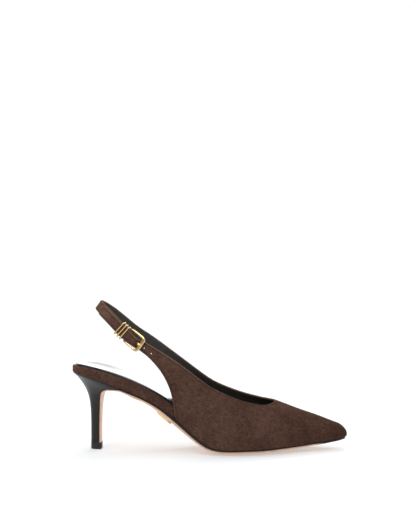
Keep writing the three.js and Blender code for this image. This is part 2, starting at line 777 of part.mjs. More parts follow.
function heelTip() {
  const sides = 9;
  const flare = 1.04;
  const forward = (stemFront + gap + flapThickness) / stemFront;
  const ring = heelRing(0, sides);
  ring.forEach((point) => { point.x *= point.x > 0 ? forward : 1; });
  const level = (z, spread) => ring.map((point) => new THREE.Vector3(point.x * spread, point.y * spread, z));
  return loft([level(0, flare), level(tipHeight, 1)]);
}

// The outsole: bare leather from the toe to the waist that turns down the breast as a flap, under a
// painted edge that is set in from it
const treadShare = 0.55;
const waistCrown = 2.9;
const soleShareRows = [
  { at: 0.1, thick: 0.62, step: 0.92, crown: 0.6 },
  { at: 0.22, thick: 1.06, step: 0.88, crown: 0.9 },
  { at: 0.3, thick: 1.28, step: 1.15, crown: 1 },
  { at: 0.4, thick: 1.08, step: 1.45, crown: 0.8 },
  { at: 0.46, thick: 1.04, step: 1.25, crown: 0.78 },
  { at: 0.5, thick: 1.04, step: 1, crown: 0.76 },
  { at: 0.66, thick: 1.03, step: 1, crown: 0.74 },
  { at: 0.76, thick: 0.8, step: 0.8, crown: 0.5 },
  { at: 0.85, thick: 0.56, step: 0.56, crown: 0.24 },
  { at: 0.93, thick: 0.4, step: 0.42, crown: 0.14 },
  { at: 1, thick: 0.24, step: 0.33, crown: 0.06 },
];
const leatherShare = column(soleShareRows, "thick");
const stepShare = column(soleShareRows, "step");
const crownShare = column(soleShareRows, "crown");

const soleStart = wingReach + 2;
const soleEnd = toeReach - 2.2;
const edgeEnd = toeReach - 2.8;
const tipBlunt = 0.35;
const thickenLength = 14;
const crownLength = 30;
const flapInset = 0.15;
const leatherThick = (x) =>
  mix(flapThickness, soleLeather * leatherShare(x), ease((x - soleStart) / thickenLength));

function solePath() {
  const stations = [];
  const flapSteps = 16;
  for (let i = 0; i <= flapSteps; i += 1) {
    const at = i / flapSteps;
    const step = 0.01;
    const here = breastPoint(at);
    const along = breastPoint(Math.min(1, at + step)).sub(breastPoint(Math.max(0, at - step))).normalize();
    const down = new THREE.Vector2(along.y, -along.x);
    const inner = here.clone().addScaledVector(down, gap);
    if (i === 0) inner.y = tipHeight + 2 * gap;
    const half = (side) => heelHalf(side, at) - flapInset;
    stations.push({ inner, down, half, thick: flapThickness, crown: 0 });
  }
  soleStations(soleStart, soleEnd, 34, 1).forEach((x) => {
    const step = 0.05;
    const along = new THREE.Vector2(2 * step, profile(x + step) - profile(x - step)).normalize();
    const down = new THREE.Vector2(along.y, -along.x);
    const inner = new THREE.Vector2(x, profile(x) - gap - edgeStep * stepShare(x) / -down.y);
    const crown = waistCrown * crownShare(x) * ease((x - soleStart) / crownLength);
    const half = (side) => Math.abs(outlinePoint(side, x, soleInset).y - swing(x))
      * roundOff(soleEnd + tipBlunt - x, toeRound);
    stations.push({ inner, down, half, thick: leatherThick(x), crown, middle: swing(x) });
  });
  return stations;
}

function soleLayer() {
  return loft(solePath().map((station) => {
    const middle = station.middle ?? 0;
    const reach = (share) => middle + (share < 0 ? -station.half("outer") : station.half("inner")) * Math.abs(share);
    const place = (share, depth) => new THREE.Vector3(
      station.inner.x + station.down.x * depth,
      reach(share),
      Math.max(0, station.inner.y + station.down.y * depth),
    );
    const low = station.thick;
    const edge = station.thick - Math.min(station.crown, station.thick * 0.7);
    return [
      place(-1, 0), place(0, 0), place(1, 0), place(1, edge),
      place(treadShare, low), place(0, low), place(-treadShare, low), place(-1, edge),
    ];
  }));
}

function edgeLayer() {
  const overlap = 0.3;
  const inset = soleInset + edgeInset;
  return loft(soleStations(wingReach + gap, edgeEnd, 34, 1).map((x) => {
    const rounded = roundOff(edgeEnd + tipBlunt - x, toeRound);
    const half = (side) => Math.abs(outlinePoint(side, x, inset).y - swing(x)) * rounded;
    const step = 0.05;
    const slope = (profile(x + step) - profile(x - step)) / (2 * step);
    const depth = edgeStep * stepShare(x) * Math.hypot(1, slope) + overlap;
    const place = (share, down) => new THREE.Vector3(
      x,
      swing(x) + (share < 0 ? -half("outer") : half("inner")) * Math.abs(share),
      profile(x) - gap - down,
    );
    return [place(-1, 0), place(0, 0), place(1, 0), place(1, depth), place(0, depth), place(-1, depth)];
  }));
}

function outsole() {
  return toGeometry(toManifold(soleLayer()).add(toManifold(edgeLayer())));
}

// The strap round the back of the heel, from its fold round the hinge bar to the inner quarter
function slingStrap() {
  const steps = 34;
  const start = turnAfter(hingeAt + hingeRadius + gap + 0.2);
  const end = 1 - gap / (root.inner.half * Math.PI / 2) * 1.6;
  const foldWidth = slingWidth - 1;
  const rings = Array.from({ length: steps + 1 }, (_, i) => {
    const turn = mix(start, end, i / steps);
    const narrow = mix(1, 0.88, Math.cos(turn * Math.PI / 2) ** 2) - 0.06 * ease((0.06 - i / steps) / 0.06);
    const width = mix(slingWidth * narrow, root.inner.width, ease((turn - 0.5) / 0.5));
    const half = slingThickness / 2;
    return [
      bandPoint(turn, -width / 2, -half), bandPoint(turn, width / 2, -half),
      bandPoint(turn, width / 2, half), bandPoint(turn, -width / 2, half),
    ];
  });
  const roundBar = (radius, length) => new THREE.CylinderGeometry(radius, radius, length, 16);
  const slotWidth = prongWidth + 2 * gap;
  const slot = new THREE.BoxGeometry(2 * foldRadius + 4 * gap, slotWidth, 2 * foldRadius + 4);
  return toGeometry(toManifold(loft(rings))
    .add(inStrap(roundBar(foldRadius, foldWidth), hingeAt, hingeOut))
    .subtract(inStrap(roundBar(hingeRadius + gap, slingWidth * 2), hingeAt, hingeOut))
    .subtract(inStrap(slot, hingeAt, hingeOut)));
}

// The buckle's own plane runs from the hinge bar, under the strap end, to the front bar above it
function framePlane() {
  const hinge = bandPoint(turnAfter(hingeAt), 0, hingeOut);
  const lift = strapLift + wall / 2 + gap + frameThickness / 2 + frameLift;
  const front = bandPoint(turnAfter(frontBarAt), 0, lift);
  const along = front.clone().sub(hinge);
  const reach = along.length();
  along.normalize();
  const lean = slingFrame(turnAfter((hingeAt + frontBarAt) / 2)).across;
  const across = lean.clone().addScaledVector(along, -lean.dot(along)).normalize();
  const out = new THREE.Vector3().crossVectors(along, across);
  return { basis: new THREE.Matrix4().makeBasis(along, across, out).setPosition(hinge), reach };
}

// The frame's outline: two bowed legs from the hinge bar and a broad rounded front bar
function frameOutline(reach) {
  const rear = -hingeRadius - gap;
  const front = reach + frontBar / 2;
  const innerFront = reach - frontBar / 2;
  const wide = frameSpan / 2;
  const narrow = wide - frameTaper;
  const innerWide = wide - sideBar;
  const innerNarrow = narrow - sideBar + legTaper;
  const innerCorner = frameCorner * 0.36;
  const legMiddle = (rear + front - frameCorner) / 2;
  const outline = new THREE.Shape();
  outline.moveTo(rear, -narrow);
  outline.quadraticCurveTo(legMiddle, -wide, front - frameCorner, -wide);
  outline.quadraticCurveTo(front, -wide, front, -wide + frameCorner);
  outline.lineTo(front, wide - frameCorner);
  outline.quadraticCurveTo(front, wide, front - frameCorner, wide);
  outline.quadraticCurveTo(legMiddle, wide, rear, narrow);
  outline.lineTo(rear, innerNarrow);
  outline.quadraticCurveTo(legMiddle, innerWide, innerFront - innerCorner, innerWide);
  outline.quadraticCurveTo(innerFront, innerWide, innerFront, innerWide - innerCorner);
  outline.lineTo(innerFront, -innerWide + innerCorner);
  outline.quadraticCurveTo(innerFront, -innerWide, innerFront - innerCorner, -innerWide);
  outline.quadraticCurveTo(legMiddle, -innerWide, rear, -innerNarrow);
  outline.closePath();
  return outline;
}

function buckleFrame() {
  const { basis, reach } = framePlane();
  const outline = frameOutline(reach);
  const plate = new THREE.ExtrudeGeometry(outline, { depth: frameThickness, bevelEnabled: false, curveSegments: 5 });
  plate.translate(0, 0, -frameThickness / 2);
  const rod = new THREE.CylinderGeometry(hingeRadius, hingeRadius, frameSpan - 2 * frameTaper - 1, 12);
  const solid = (geometry) => toManifold(facingOut(weld(geometry).applyMatrix4(basis)));
  return toGeometry(solid(plate).add(solid(rod)));
}

// The prong turns on the hinge bar, comes up through the strap end's hole and rests on the front bar.
// ahead is the distance from the hinge bar, up the height over it.
const prongRows = [
  { ahead: 0.9, up: 0.95 },
  { ahead: 3, up: 0.95 },
  { ahead: 5.4, up: 0.95 },
  { ahead: 7.2, up: 1.1 },
  { ahead: 8.7, up: 1.9 },
  { ahead: 10.2, up: 3.6 },
  { ahead: 11.4, up: 5.1 },
  { ahead: 12.4, up: 6.3 },
  { ahead: 13.3, up: 6.85 },
  { ahead: 15.3, up: 7.6 },
];
function buckleProng() {
  const height = lineThrough(prongRows.map((row) => [row.ahead, row.up]));
  const first = prongRows[0].ahead;
  const last = prongRows[prongRows.length - 1].ahead;
  const steps = 16;
  const step = 0.05;
  const rings = Array.from({ length: steps + 1 }, (_, i) => {
    const ahead = mix(first, last, i / steps);
    const slope = (height(ahead + step) - height(ahead - step)) / (2 * step);
    const length = Math.hypot(1, slope);
    const point = (across, side) => {
      const away = side * prongThickness / 2;
      const turn = turnAfter(hingeAt - ahead + slope / length * away);
      return bandPoint(turn, across * prongWidth / 2, hingeOut + height(ahead) + away / length);
    };
    return [point(-1, -1), point(1, -1), point(1, 1), point(-1, 1)];
  });
  const round = (radius) => new THREE.CylinderGeometry(radius, radius, prongWidth, 16);
  const bore = new THREE.CylinderGeometry(hingeRadius + gap, hingeRadius + gap, prongWidth * 2, 16);
  return toGeometry(toManifold(loft(rings))
    .add(inStrap(round(hingeRadius + gap + sleeveWall), hingeAt, hingeOut))
    .subtract(inStrap(bore, hingeAt, hingeOut)));
}

function keeperRing(index) {
  const frame = slingFrame(turnAfter(firstRingAt + index * ringPitch));
  const halfSpan = slingWidth / 2 + gap + wireRadius;
  const lowSpan = halfSpan + 0.4;
  const inside = -slingThickness / 2 - gap - wireRadius;
  const outside = strapLift + wall / 2 + gap + wireRadius;
  const corner = 1.4;
  const cornerSteps = 4;
  const path = [];
  const corners = [
    [halfSpan - corner, outside - corner, 0], [-lowSpan + corner, outside - corner, 1],
    [-lowSpan + corner, inside + corner, 2], [halfSpan - corner, inside + corner, 3],
  ];
  corners.forEach(([across, out, turnCount]) => {
    for (let i = 0; i <= cornerSteps; i += 1) {
      const angle = (turnCount + i / cornerSteps) * Math.PI / 2;
      path.push(frame.centre.clone()
        .addScaledVector(frame.across, across + corner * Math.cos(angle))
        .addScaledVector(frame.out, out + corner * Math.sin(angle)));
    }
  });
  return wireLoop(path, wireRadius);
}

// A plain domed oval plate under the waist
function waistBadge() {
  const step = 0.05;
  const under = (x) => {
    const slope = (profile(x + step) - profile(x - step)) / (2 * step);
    return profile(x) - gap - (edgeStep * stepShare(x) + leatherThick(x)) * Math.hypot(1, slope);
  };
  const sides = 24;
  const level = (depth, share) => Array.from({ length: sides }, (_, i) => {
    const angle = 2 * Math.PI * i / sides;
    const x = badgeReach + share * badgeLength / 2 * Math.cos(angle);
    return new THREE.Vector3(x, badgeAcross + share * badgeWidth / 2 * Math.sin(angle), under(x) - depth);
  });
  return loft([
    level(badgeGap, 1), level(badgeGap + badgeThickness * 0.5, 1),
    level(badgeGap + badgeThickness * 0.85, 0.82), level(badgeGap + badgeThickness, 0.5),
  ]);
}

function material(color, roughness, metalness = 0) {
  return new THREE.MeshStandardMaterial({ color, roughness, metalness });
}
const suede = material(0x574036, 0.95);
const blackLeather = material(0x2a2a2a, 0.5);
const soleTan = material(0xcaa07f, 0.55);
const lacquer = material(0x1c1b1b, 0.35);
const gold = material(0xd8b46a, 0.25, 1);

const shoe = new THREE.Group();
function addPiece(name, geometry, finish) {
  const mesh = new THREE.Mesh(geometry, finish.clone());
  mesh.name = name;
  shoe.add(mesh);
}

addPiece("outsole", outsole(), soleTan);
addPiece("footbed", footbed(), suede);
addPiece("sock_lining", sockLining(), blackLeather);
addPiece("upper", upper(), suede);
addPiece("sling_strap", slingStrap(), suede);
addPiece("heel", heel(), lacquer);
addPiece("heel_tip", heelTip(), lacquer);
addPiece("buckle_frame", buckleFrame(), gold);
addPiece("buckle_prong", buckleProng(), gold);
for (let i = 0; i < 3; i += 1) addPiece(`keeper_ring_${i + 1}`, keeperRing(i), gold);
addPiece("waist_badge", waistBadge(), gold);

export default shoe;
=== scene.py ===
# The dressed slingback pump. Tables hold shares of sizes in millimetres; the pieces are in metres.
import math

import bmesh
import bpy
import numpy as np
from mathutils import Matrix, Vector
from mathutils.kdtree import KDTree


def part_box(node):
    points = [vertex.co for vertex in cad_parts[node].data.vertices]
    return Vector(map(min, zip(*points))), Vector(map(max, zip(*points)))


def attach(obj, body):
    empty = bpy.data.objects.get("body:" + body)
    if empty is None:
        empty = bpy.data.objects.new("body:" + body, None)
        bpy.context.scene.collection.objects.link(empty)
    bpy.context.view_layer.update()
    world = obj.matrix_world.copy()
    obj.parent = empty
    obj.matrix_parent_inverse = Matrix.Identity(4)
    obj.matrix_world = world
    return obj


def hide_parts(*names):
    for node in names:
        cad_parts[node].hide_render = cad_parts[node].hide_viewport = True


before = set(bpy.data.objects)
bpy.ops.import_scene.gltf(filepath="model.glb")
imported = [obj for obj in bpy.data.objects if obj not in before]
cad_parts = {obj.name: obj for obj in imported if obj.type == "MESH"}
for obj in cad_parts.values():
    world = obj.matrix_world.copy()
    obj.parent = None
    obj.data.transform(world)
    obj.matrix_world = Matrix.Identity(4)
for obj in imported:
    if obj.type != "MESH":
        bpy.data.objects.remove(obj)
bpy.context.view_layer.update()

MM = 0.001
PI = math.pi

# Sizes of the last and the sole
TOE_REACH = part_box("upper")[1].x / MM
SEAT_REACH = 21.7
HEEL_HEIGHT = 71
BALL_HALF = 35
TOE_SWING = 7
TOE_SPRING = 6.8
INSTEP = 40
BULGE = 3.2
TOE_ROUND = 9
SEAT_ROUND = 28
THROAT_REACH = 164.2
THROAT_ROUND = 14
QUARTER_HEIGHT = 41.35
WALL = 1.6
GAP = 0.3

# Sizes of the sole, the footbed and the heel
SOLE_LEATHER = 3.4
EDGE_STEP = 1.8
SOLE_INSET = 0.8
EDGE_INSET = 0.7
FLAP_THICKNESS = 1.2
INSOLE_THICKNESS = 3
FOOTBED_EDGE = 10
WING_REACH = 24.4
STEM_BACK = 4.7
STEM_FRONT = 3.5
STEM_HALF = 5.3
STEM_ROUND = 2.1
TIP_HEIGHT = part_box("heel_tip")[1].z / MM

# Sizes of the heel strap and its hardware
SLING_BACK = 2.7
SLING_TOP = 132.4
SLING_THICKNESS = 2
SLING_WIDTH = 10.8
STRAP_END_WIDTH = 10
STRAP_TAIL = 27.5
WIRE_RADIUS = 0.65
RING_PITCH = 3.1
FRAME_SPAN = 15.4
FRAME_REACH = 14.6
FRAME_THICKNESS = 1.8
FRONT_BAR = 3.5
SIDE_BAR = 1.8
FRAME_CORNER = 5
FRAME_TAPER = 0.7
FRAME_LIFT = 0.35
LEG_TAPER = 0.6
HINGE_RADIUS = 0.7
SLEEVE_WALL = 0.8
PRONG_WIDTH = 2
PRONG_THICKNESS = 1.2

SIDES = {"outer": -1, "inner": 1}


# Curves and blends
def line_through(at, value):
    """A natural cubic through a table's points, straight beyond its ends."""
    at = np.asarray(at, float)
    value = np.asarray(value, float)
    count = len(at)
    step = np.diff(at)
    system = np.eye(count)
    right = np.zeros(count)
    for i in range(1, count - 1):
        system[i, i - 1:i + 2] = step[i - 1], 2 * (step[i - 1] + step[i]), step[i]
        right[i] = 6 * ((value[i + 1] - value[i]) / step[i] - (value[i] - value[i - 1]) / step[i - 1])
    bend = np.linalg.solve(system, right)
    first = (value[1] - value[0]) / step[0] - step[0] * bend[1] / 6
    last = (value[-1] - value[-2]) / step[-1] + step[-1] * bend[-2] / 6

    def curve(x):
        x = np.asarray(x, float)
        held = np.clip(x, at[0], at[-1])
        i = np.clip(np.searchsorted(at, held), 1, count - 1)
        span = step[i - 1]
        a = (at[i] - held) / span
        b = 1 - a
        bent = ((a ** 3 - a) * bend[i - 1] + (b ** 3 - b) * bend[i]) * span ** 2 / 6
        beyond = np.minimum(0, x - at[0]) * first + np.maximum(0, x - at[-1]) * last
        return a * value[i - 1] + b * value[i] + bent + beyond

    return curve


def columns(names, rows, reach=TOE_REACH):
    """A smooth line for each named column of a table, whose first column is a share of reach."""
    table = np.array(rows, float)
    return {name: line_through(table[:, 0] * reach, table[:, i + 1]) for i, name in enumerate(names)}


def mix(a, b, share):
    return a + (b - a) * share


def ease(share):
    held = np.clip(share, 0, 1)
    return held * held * (3 - 2 * held)


def round_off(distance, radius):
    share = np.clip(np.asarray(distance, float) / radius, 0, 1)
    return np.sqrt(1 - (1 - share) ** 2)


def unit(vectors):
    length = np.linalg.norm(vectors, axis=-1, keepdims=True)
    return vectors / np.maximum(length, 1e-12)


def run_along(path):
    """How far along a path each of its points is."""
    return np.concatenate([[0], np.cumsum(np.linalg.norm(np.diff(path, axis=0), axis=1))])


def picked(at, along, values):
    """The rows of values at given distances along."""
    return np.stack([np.interp(at, along, column) for column in values.T], -1)


def circle(sides):
    return np.linspace(0, 2 * PI, sides, endpoint=False)


def hump(distance, at, width):
    return np.exp(-((distance - at) / width) ** 2)


def slope_of(curve, x, step=0.05):
    return (curve(x + step) - curve(x - step)) / (2 * step)


# The foot's own line from the side: rise is a share of the heel height, spring of the toe spring
profile_table = columns(["rise", "spring"], [
    (-0.094, 0.937, 0), (0, 0.875, 0), (0.087, 0.775, 0), (0.174, 0.66, 0), (0.239, 0.554, 0),
    (0.304, 0.4075, 0), (0.369, 0.238, 0), (0.421, 0.1065, 0), (0.46, 0.034, 0), (0.499, 0.004, 0),
    (0.573, 0, 0.006), (0.651, 0, 0.044), (0.729, 0, 0.125), (0.807, 0, 0.245), (0.89, 0, 0.478),
    (0.972, 0, 0.838), (1, 0, 1),
])
BALL_RISE = SOLE_LEATHER + EDGE_STEP + GAP


def profile(x):
    return BALL_RISE + profile_table["rise"](x) * HEEL_HEIGHT + profile_table["spring"](x) * TOE_SPRING


# The sole line in plan: outer and inner half widths as shares of the ball's, and the toe's swing
plan = columns(["outer", "inner", "swing"], [
    (-0.094, 0.76, 0.745, 0), (0.02, 0.775, 0.755, 0), (0.1, 0.77, 0.745, 0),
    (0.174, 0.742, 0.7, 0.01), (0.239, 0.715, 0.655, 0.02), (0.304, 0.7, 0.623, 0.04),
    (0.369, 0.745, 0.635, 0.07), (0.421, 0.85, 0.71, 0.1), (0.477, 0.968, 0.86, 0.15),
    (0.543, 1.03, 0.972, 0.22), (0.608, 0.995, 0.99, 0.31), (0.673, 0.895, 0.915, 0.42),
    (0.738, 0.748, 0.775, 0.55), (0.807, 0.573, 0.598, 0.7), (0.89, 0.36, 0.372, 0.87),
    (0.946, 0.222, 0.216, 0.95), (1, 0.12, 0.1, 1),
])


def sole_line(side, x):
    half = plan[side](x) * BALL_HALF * round_off(TOE_REACH - x, TOE_ROUND)
    return plan["swing"](x) * TOE_SWING + SIDES[side] * half


# The last above the sole line: swell is a share of the bulge, belly and dome of the instep, crest of
# the toe's swing; the open columns say at which share of a right angle the topline cuts the dome
last = columns(["swell", "belly", "dome", "crest", "open_outer", "open_inner"], [
    (0.18, 0.4, 0.424, 2.34, 0.05, 0.243, 0.272), (0.234, 0.85, 0.394, 2.12, 0.06, 0.272, 0.294),
    (0.299, 1.12, 0.39, 1.87, 0.08, 0.322, 0.334), (0.376, 1.12, 0.399, 1.6, 0.14, 0.402, 0.41),
    (0.451, 1, 0.37, 1.39, 0.21, 0.487, 0.498), (0.53, 0.95, 0.301, 1.18, 0.36, 0.542, 0.566),
    (0.595, 0.95, 0.26, 0.99, 0.5, 0.572, 0.63), (0.66, 0.93, 0.233, 0.841, 0.61, 0.628, 0.74),
    (0.714, 0.9, 0.216, 0.75, 0.69, 0.645, 0.79), (0.807, 0.8, 0.187, 0.559, 0.8, 0.66, 0.8),
    (0.89, 0.7, 0.14, 0.403, 0.9, 0.66, 0.8), (0.946, 0.62, 0.094, 0.287, 0.96, 0.66, 0.8),
    (1, 0.56, 0.05, 0.178, 1, 0.66, 0.8),
])
FULLNESS = 0.05


def last_point(side, x, level):
    """A point of the upper: level -1 is the sole line, 0 the widest place and 1 the crest."""
    x, level = np.broadcast_arrays(np.asarray(x, float), np.asarray(level, float))
    toe = round_off(TOE_REACH - x, TOE_ROUND)
    foot = sole_line(side, x)
    widest = foot + SIDES[side] * last["swell"](x) * BULGE * toe
    tip = profile(TOE_REACH) + last["belly"](TOE_REACH) * INSTEP
    low = profile(x)
    middle = mix(tip, low + last["belly"](x) * INSTEP, toe)
    under = np.minimum(level, 0)
    angle = np.maximum(level, 0) * PI / 2
    spread = np.cos(angle) * (1 + FULLNESS * np.sin(angle) ** 2)
    y_under = widest + (foot - widest) * under ** 2
    y_over = mix(last["crest"](x) * TOE_SWING, widest, spread)
    z_over = middle + last["dome"](x) * INSTEP * toe * np.sin(angle)
    return np.stack([x, np.where(level < 0, y_under, y_over),
                     np.where(level < 0, middle + (middle - low) * under, z_over)], -1)


def level_at_height(side, x, z):
    low = profile(x)
    middle = low + last["belly"](x) * INSTEP
    over = np.clip((z - middle) / (last["dome"](x) * INSTEP), 0, 1)
    return np.where(z < middle, (z - middle) / (middle - low), np.arcsin(over) / (PI / 2))


def top_level(side, x):
    closing = round_off(THROAT_REACH - x, THROAT_ROUND)
    return np.where(x >= THROAT_REACH, 1, 1 - (1 - last["open_" + side](x)) * closing)


# The quarter's rear edge, then the fan of rows behind the throat: where a row starts on the edge or
# on the sole line, how high in shares of the quarter and how much higher on the inner side, and where
# it meets the topline
row_table = np.array([
    (0.1845, 1, 0.056, 0.2075), (0.2083, 0.9617, 0.04, 0.232), (0.2283, 0.9224, 0.024, 0.2565),
    (0.2483, 0.8687, 0.01, 0.282), (0.2674, 0.8077, 0.002, 0.3075), (0.286, 0.7127, 0, 0.334),
    (0.3015, 0.586, 0, 0.358), (0.312, 0.4381, 0, 0.38), (0.3185, 0.2791, 0, 0.4),
    (0.323, 0.1248, 0, 0.418), (0.3272, 0, 0, 0.434),
    (0.345, 0, 0, 0.448), (0.368, 0, 0, 0.464), (0.394, 0, 0, 0.482), (0.424, 0, 0, 0.502),
    (0.458, 0, 0, 0.525), (0.496, 0, 0, 0.552), (0.536, 0, 0, 0.582),
])
EDGE_ROWS = 11
ROW_SPLIT = 5
COVER_START = row_table[EDGE_ROWS - 1, 0] * TOE_REACH


def upper_stations(side):
    """Rows from the quarter's root to the toe: low x, low level, top x, and their row in the table."""
    count = len(row_table)
    row = np.arange((count - 1) * ROW_SPLIT + 1) / ROW_SPLIT
    index = np.arange(count)
    low = line_through(index, row_table[:, 0])(row) * TOE_REACH
    top = line_through(index, row_table[:, 3])(row) * TOE_REACH
    height = row_table[:, 1] + row_table[:, 2] * (side == "inner")
    up = line_through(index[:EDGE_ROWS], height[:EDGE_ROWS])(row)
    level = level_at_height(side, low, profile(low) + np.maximum(up, 0) * QUARTER_HEIGHT)
    level = np.where(row >= EDGE_ROWS - 1, -1, level)
    share = 1 - (1 - np.arange(1, 31) / 30) ** 1.7
    throat = mix(low[-1], THROAT_REACH, share), mix(top[-1], THROAT_REACH, share)
    near = THROAT_REACH + np.array([0.06, 0.25, 0.55, 0.95, 1.4])
    vamp = mix(THROAT_REACH, TOE_REACH, 1 - (1 - np.arange(2, 57) / 56) ** 1.8)
    ahead = np.concatenate([near, vamp])
    low = np.concatenate([low, throat[0], ahead])
    top = np.concatenate([top, throat[1], ahead])
    level = np.concatenate([level, np.full(len(low) - len(level), -1.0)])
    return low, level, top, np.concatenate([row, np.full(len(low) - len(row), count)])


RIM_STEPS = np.array([0, 0.06, 0.25, 0.55, 0.9, 1.2, 1.45, 1.9, 2.6])
RIM_ROOM = 2.6
ROW_STEPS = 54


def spread_along(length):
    """Distances along a row: close together at both its ends, then even."""
    rim = RIM_STEPS * min(1, length / (RIM_ROOM * RIM_STEPS[-1]))
    inside = np.linspace(rim[-1], length - rim[-1], ROW_STEPS)
    return np.concatenate([rim[:-1], inside, (length - rim[:-1])[::-1]])


def upper_rows(side):
    low, level, top, row = upper_stations(side)
    fine = np.linspace(0, 1, 161)
    rows = []
    for i in range(len(low)):
        end = top_level(side, top[i])
        points = last_point(side, mix(low[i], top[i], fine), mix(level[i], end, fine))
        along = run_along(points)
        share = np.interp(spread_along(along[-1]), along, fine)
        rows.append(last_point(side, mix(low[i], top[i], share), mix(level[i], end, share)))
    return np.array(rows), row


# The heel strap runs round half an ellipse in plan; turn goes from -1, outer, to 1, inner
sling_drop = line_through([0, 0.25, 0.5, 0.705, 1], [0, 0.253, 0.538, 0.755, 1])
STRAP_LIFT = SLING_THICKNESS / 2 + GAP + WALL / 2
STRAP_LEAN = unit(np.array([0.585, 0, 0.811]))
ROOT_BLEND = 5
SHEET_LIFT = {"outer": STRAP_LIFT + WALL / 2, "inner": WALL / 2}


def quarter_root(side, rows):
    first = rows[0]
    middle = (first[0] + first[-1]) / 2
    lean = first[-1] - first[0]
    width = np.linalg.norm(lean)
    lean[1] = 0
    return {"x": middle[0], "z": middle[2], "half": abs(middle[1]) - SHEET_LIFT[side],
            "width": width, "lean": unit(lean)}


side_rows = {side: upper_rows(side) for side in SIDES}
root = {side: quarter_root(side, side_rows[side][0]) for side in SIDES}


def sling_centre(turn):
    turn = np.asarray(turn, float)
    outer = turn < 0

    def pick(name):
        return np.where(outer, root["outer"][name], root["inner"][name])

    angle = turn * PI / 2
    share = 1 - np.cos(angle)
    return np.stack([mix(SLING_BACK, pick("x"), share), pick("half") * np.sin(angle),
                     mix(SLING_TOP, pick("z"), sling_drop(share))], -1)


def sling_frame(turn):
    """Centre, and the directions along, across (up) and out of the strap."""
    turn = np.atleast_1d(np.asarray(turn, float))
    step = 0.002
    centre = sling_centre(turn)
    along = unit(sling_centre(np.minimum(1, turn + step)) - sling_centre(np.maximum(-1, turn - step)))
    root_lean = np.where(turn[:, None] < 0, root["outer"]["lean"], root["inner"]["lean"])
    lean = unit(mix(STRAP_LEAN, root_lean, ease((abs(turn) - 0.6) / 0.4)[:, None]))
    away = unit(lean - along * np.sum(lean * along, -1, keepdims=True))
    across = unit(mix(away, lean, ease((abs(turn) - 0.85) / 0.15)[:, None]))
    return centre, along, across, unit(np.cross(across, along))


def band_point(turn, across, out):
    centre, _, lean, away = sling_frame(turn)
    return centre + lean * np.reshape(across, (-1, 1)) + away * np.reshape(out, (-1, 1))


TURNS = np.linspace(-1, 1, 4001)
TURN_LENGTHS = run_along(sling_centre(TURNS))


def turn_after(distance):
    return np.interp(distance, TURN_LENGTHS, TURNS)


FRONT_BAR_AT = 1.6
HINGE_AT = FRONT_BAR_AT + FRAME_REACH
FIRST_RING_AT = HINGE_AT + 3.4
STRAP_END = FIRST_RING_AT + 2 * RING_PITCH + STRAP_TAIL
FOLD_RADIUS = HINGE_RADIUS + GAP + SLEEVE_WALL
HINGE_OUT = SLING_THICKNESS / 2 - FOLD_RADIUS
ROOT_EASE = 4
strap_edges = columns(["top", "low"], [
    (0, 0.92, 0.92), (0.35, 0.68, 1.04), (0.7, 0.7, 1.06), (1, 0.8, 1.07), (1.35, 0.85, 1.06),
    (3.4, 0.85, 1.06),
], HINGE_AT)


def strap_end_rows():
    """The outer quarter's long strap end, from its rounded tip to the quarter."""
    near = np.array([0.02, 0.15, 0.4, 0.8, 1.3, 1.9, 2.6, 3.4, 4.2])
    from_tip = np.concatenate([near, np.linspace(4.9, STRAP_END, 92)[:-1]])
    rows = []
    for distance in from_tip:
        reach = STRAP_END - distance
        share = ease(reach / ROOT_EASE)
        half_width = STRAP_END_WIDTH / 2
        top = mix(root["outer"]["width"] / 2, strap_edges["top"](reach) * half_width, share)
        low = mix(root["outer"]["width"] / 2, strap_edges["low"](reach) * half_width, share)
        half = (top + low) / 2 * round_off(distance, half_width)
        across = (top - low) / 2 - half + spread_along(2 * half)
        turn = np.full(len(across), turn_after(reach))
        rows.append(band_point(turn, across, np.full(len(across), SHEET_LIFT["outer"])))
    return np.array(rows)


def quarter_rows(side):
    """The side's rows, lying flat in the strap's own plane near the root."""
    rows, row = side_rows[side]
    flat = SIDES[side] * (root[side]["half"] + SHEET_LIFT[side])
    rows = rows.copy()
    rows[:, :, 1] = mix(flat, rows[:, :, 1], ease(row / ROOT_BLEND)[:, None])
    return rows


# Meshes
def grid_faces(rows, cols, closed=False, flipped=False):
    index = np.arange(rows * cols).reshape(rows, cols)
    if closed:
        index = np.hstack([index, index[:, :1]])
    quads = np.stack([index[:-1, :-1], index[1:, :-1], index[1:, 1:], index[:-1, 1:]], -1).reshape(-1, 4)
    return quads[:, ::-1] if flipped else quads


WELD = 2e-6


def make_piece(name, points, faces, finish, slot, replaces=(), welded=True, tone=None):
    """A smooth mesh from points in millimetres, riding on the shoe; tone is a value kept for each point:
    on the suede how much paler it is painted, as painted highlight and shade, and on the sock how flat it
    lies.
    """
    mesh = bpy.data.meshes.new(name)
    corners = (np.asarray(points).reshape(-1, 3) * MM).tolist()
    mesh.from_pydata(corners, [], [list(map(int, face)) for face in faces])
    if tone is not None:
        mesh.attributes.new("edge_tone", "FLOAT", "POINT").data.foreach_set("value", np.ravel(tone))
    obj = bpy.data.objects.new(name, mesh)
    bpy.context.scene.collection.objects.link(obj)
    if welded:
        work = bmesh.new()
        work.from_mesh(mesh)
        bmesh.ops.remove_doubles(work, verts=work.verts, dist=WELD)
        bmesh.ops.dissolve_degenerate(work, edges=work.edges, dist=WELD / 20)
        work.to_mesh(mesh)
        work.free()
    mesh.shade_smooth()
    mesh.materials.append(finish)
    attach(obj, "root")
    if replaces:
        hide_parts(*replaces)
    return obj


def loft(rings, caps=True):
    """Points and faces of a tube through rings of points."""
    rings = np.asarray(rings)
    count, sides = rings.shape[:2]
    faces = [tuple(f) for f in grid_faces(count, sides, closed=True)]
    if caps:
        faces.append(tuple(range(sides - 1, -1, -1)))
        faces.append(tuple(range((count - 1) * sides, count * sides)))
    return rings.reshape(-1, 3), faces


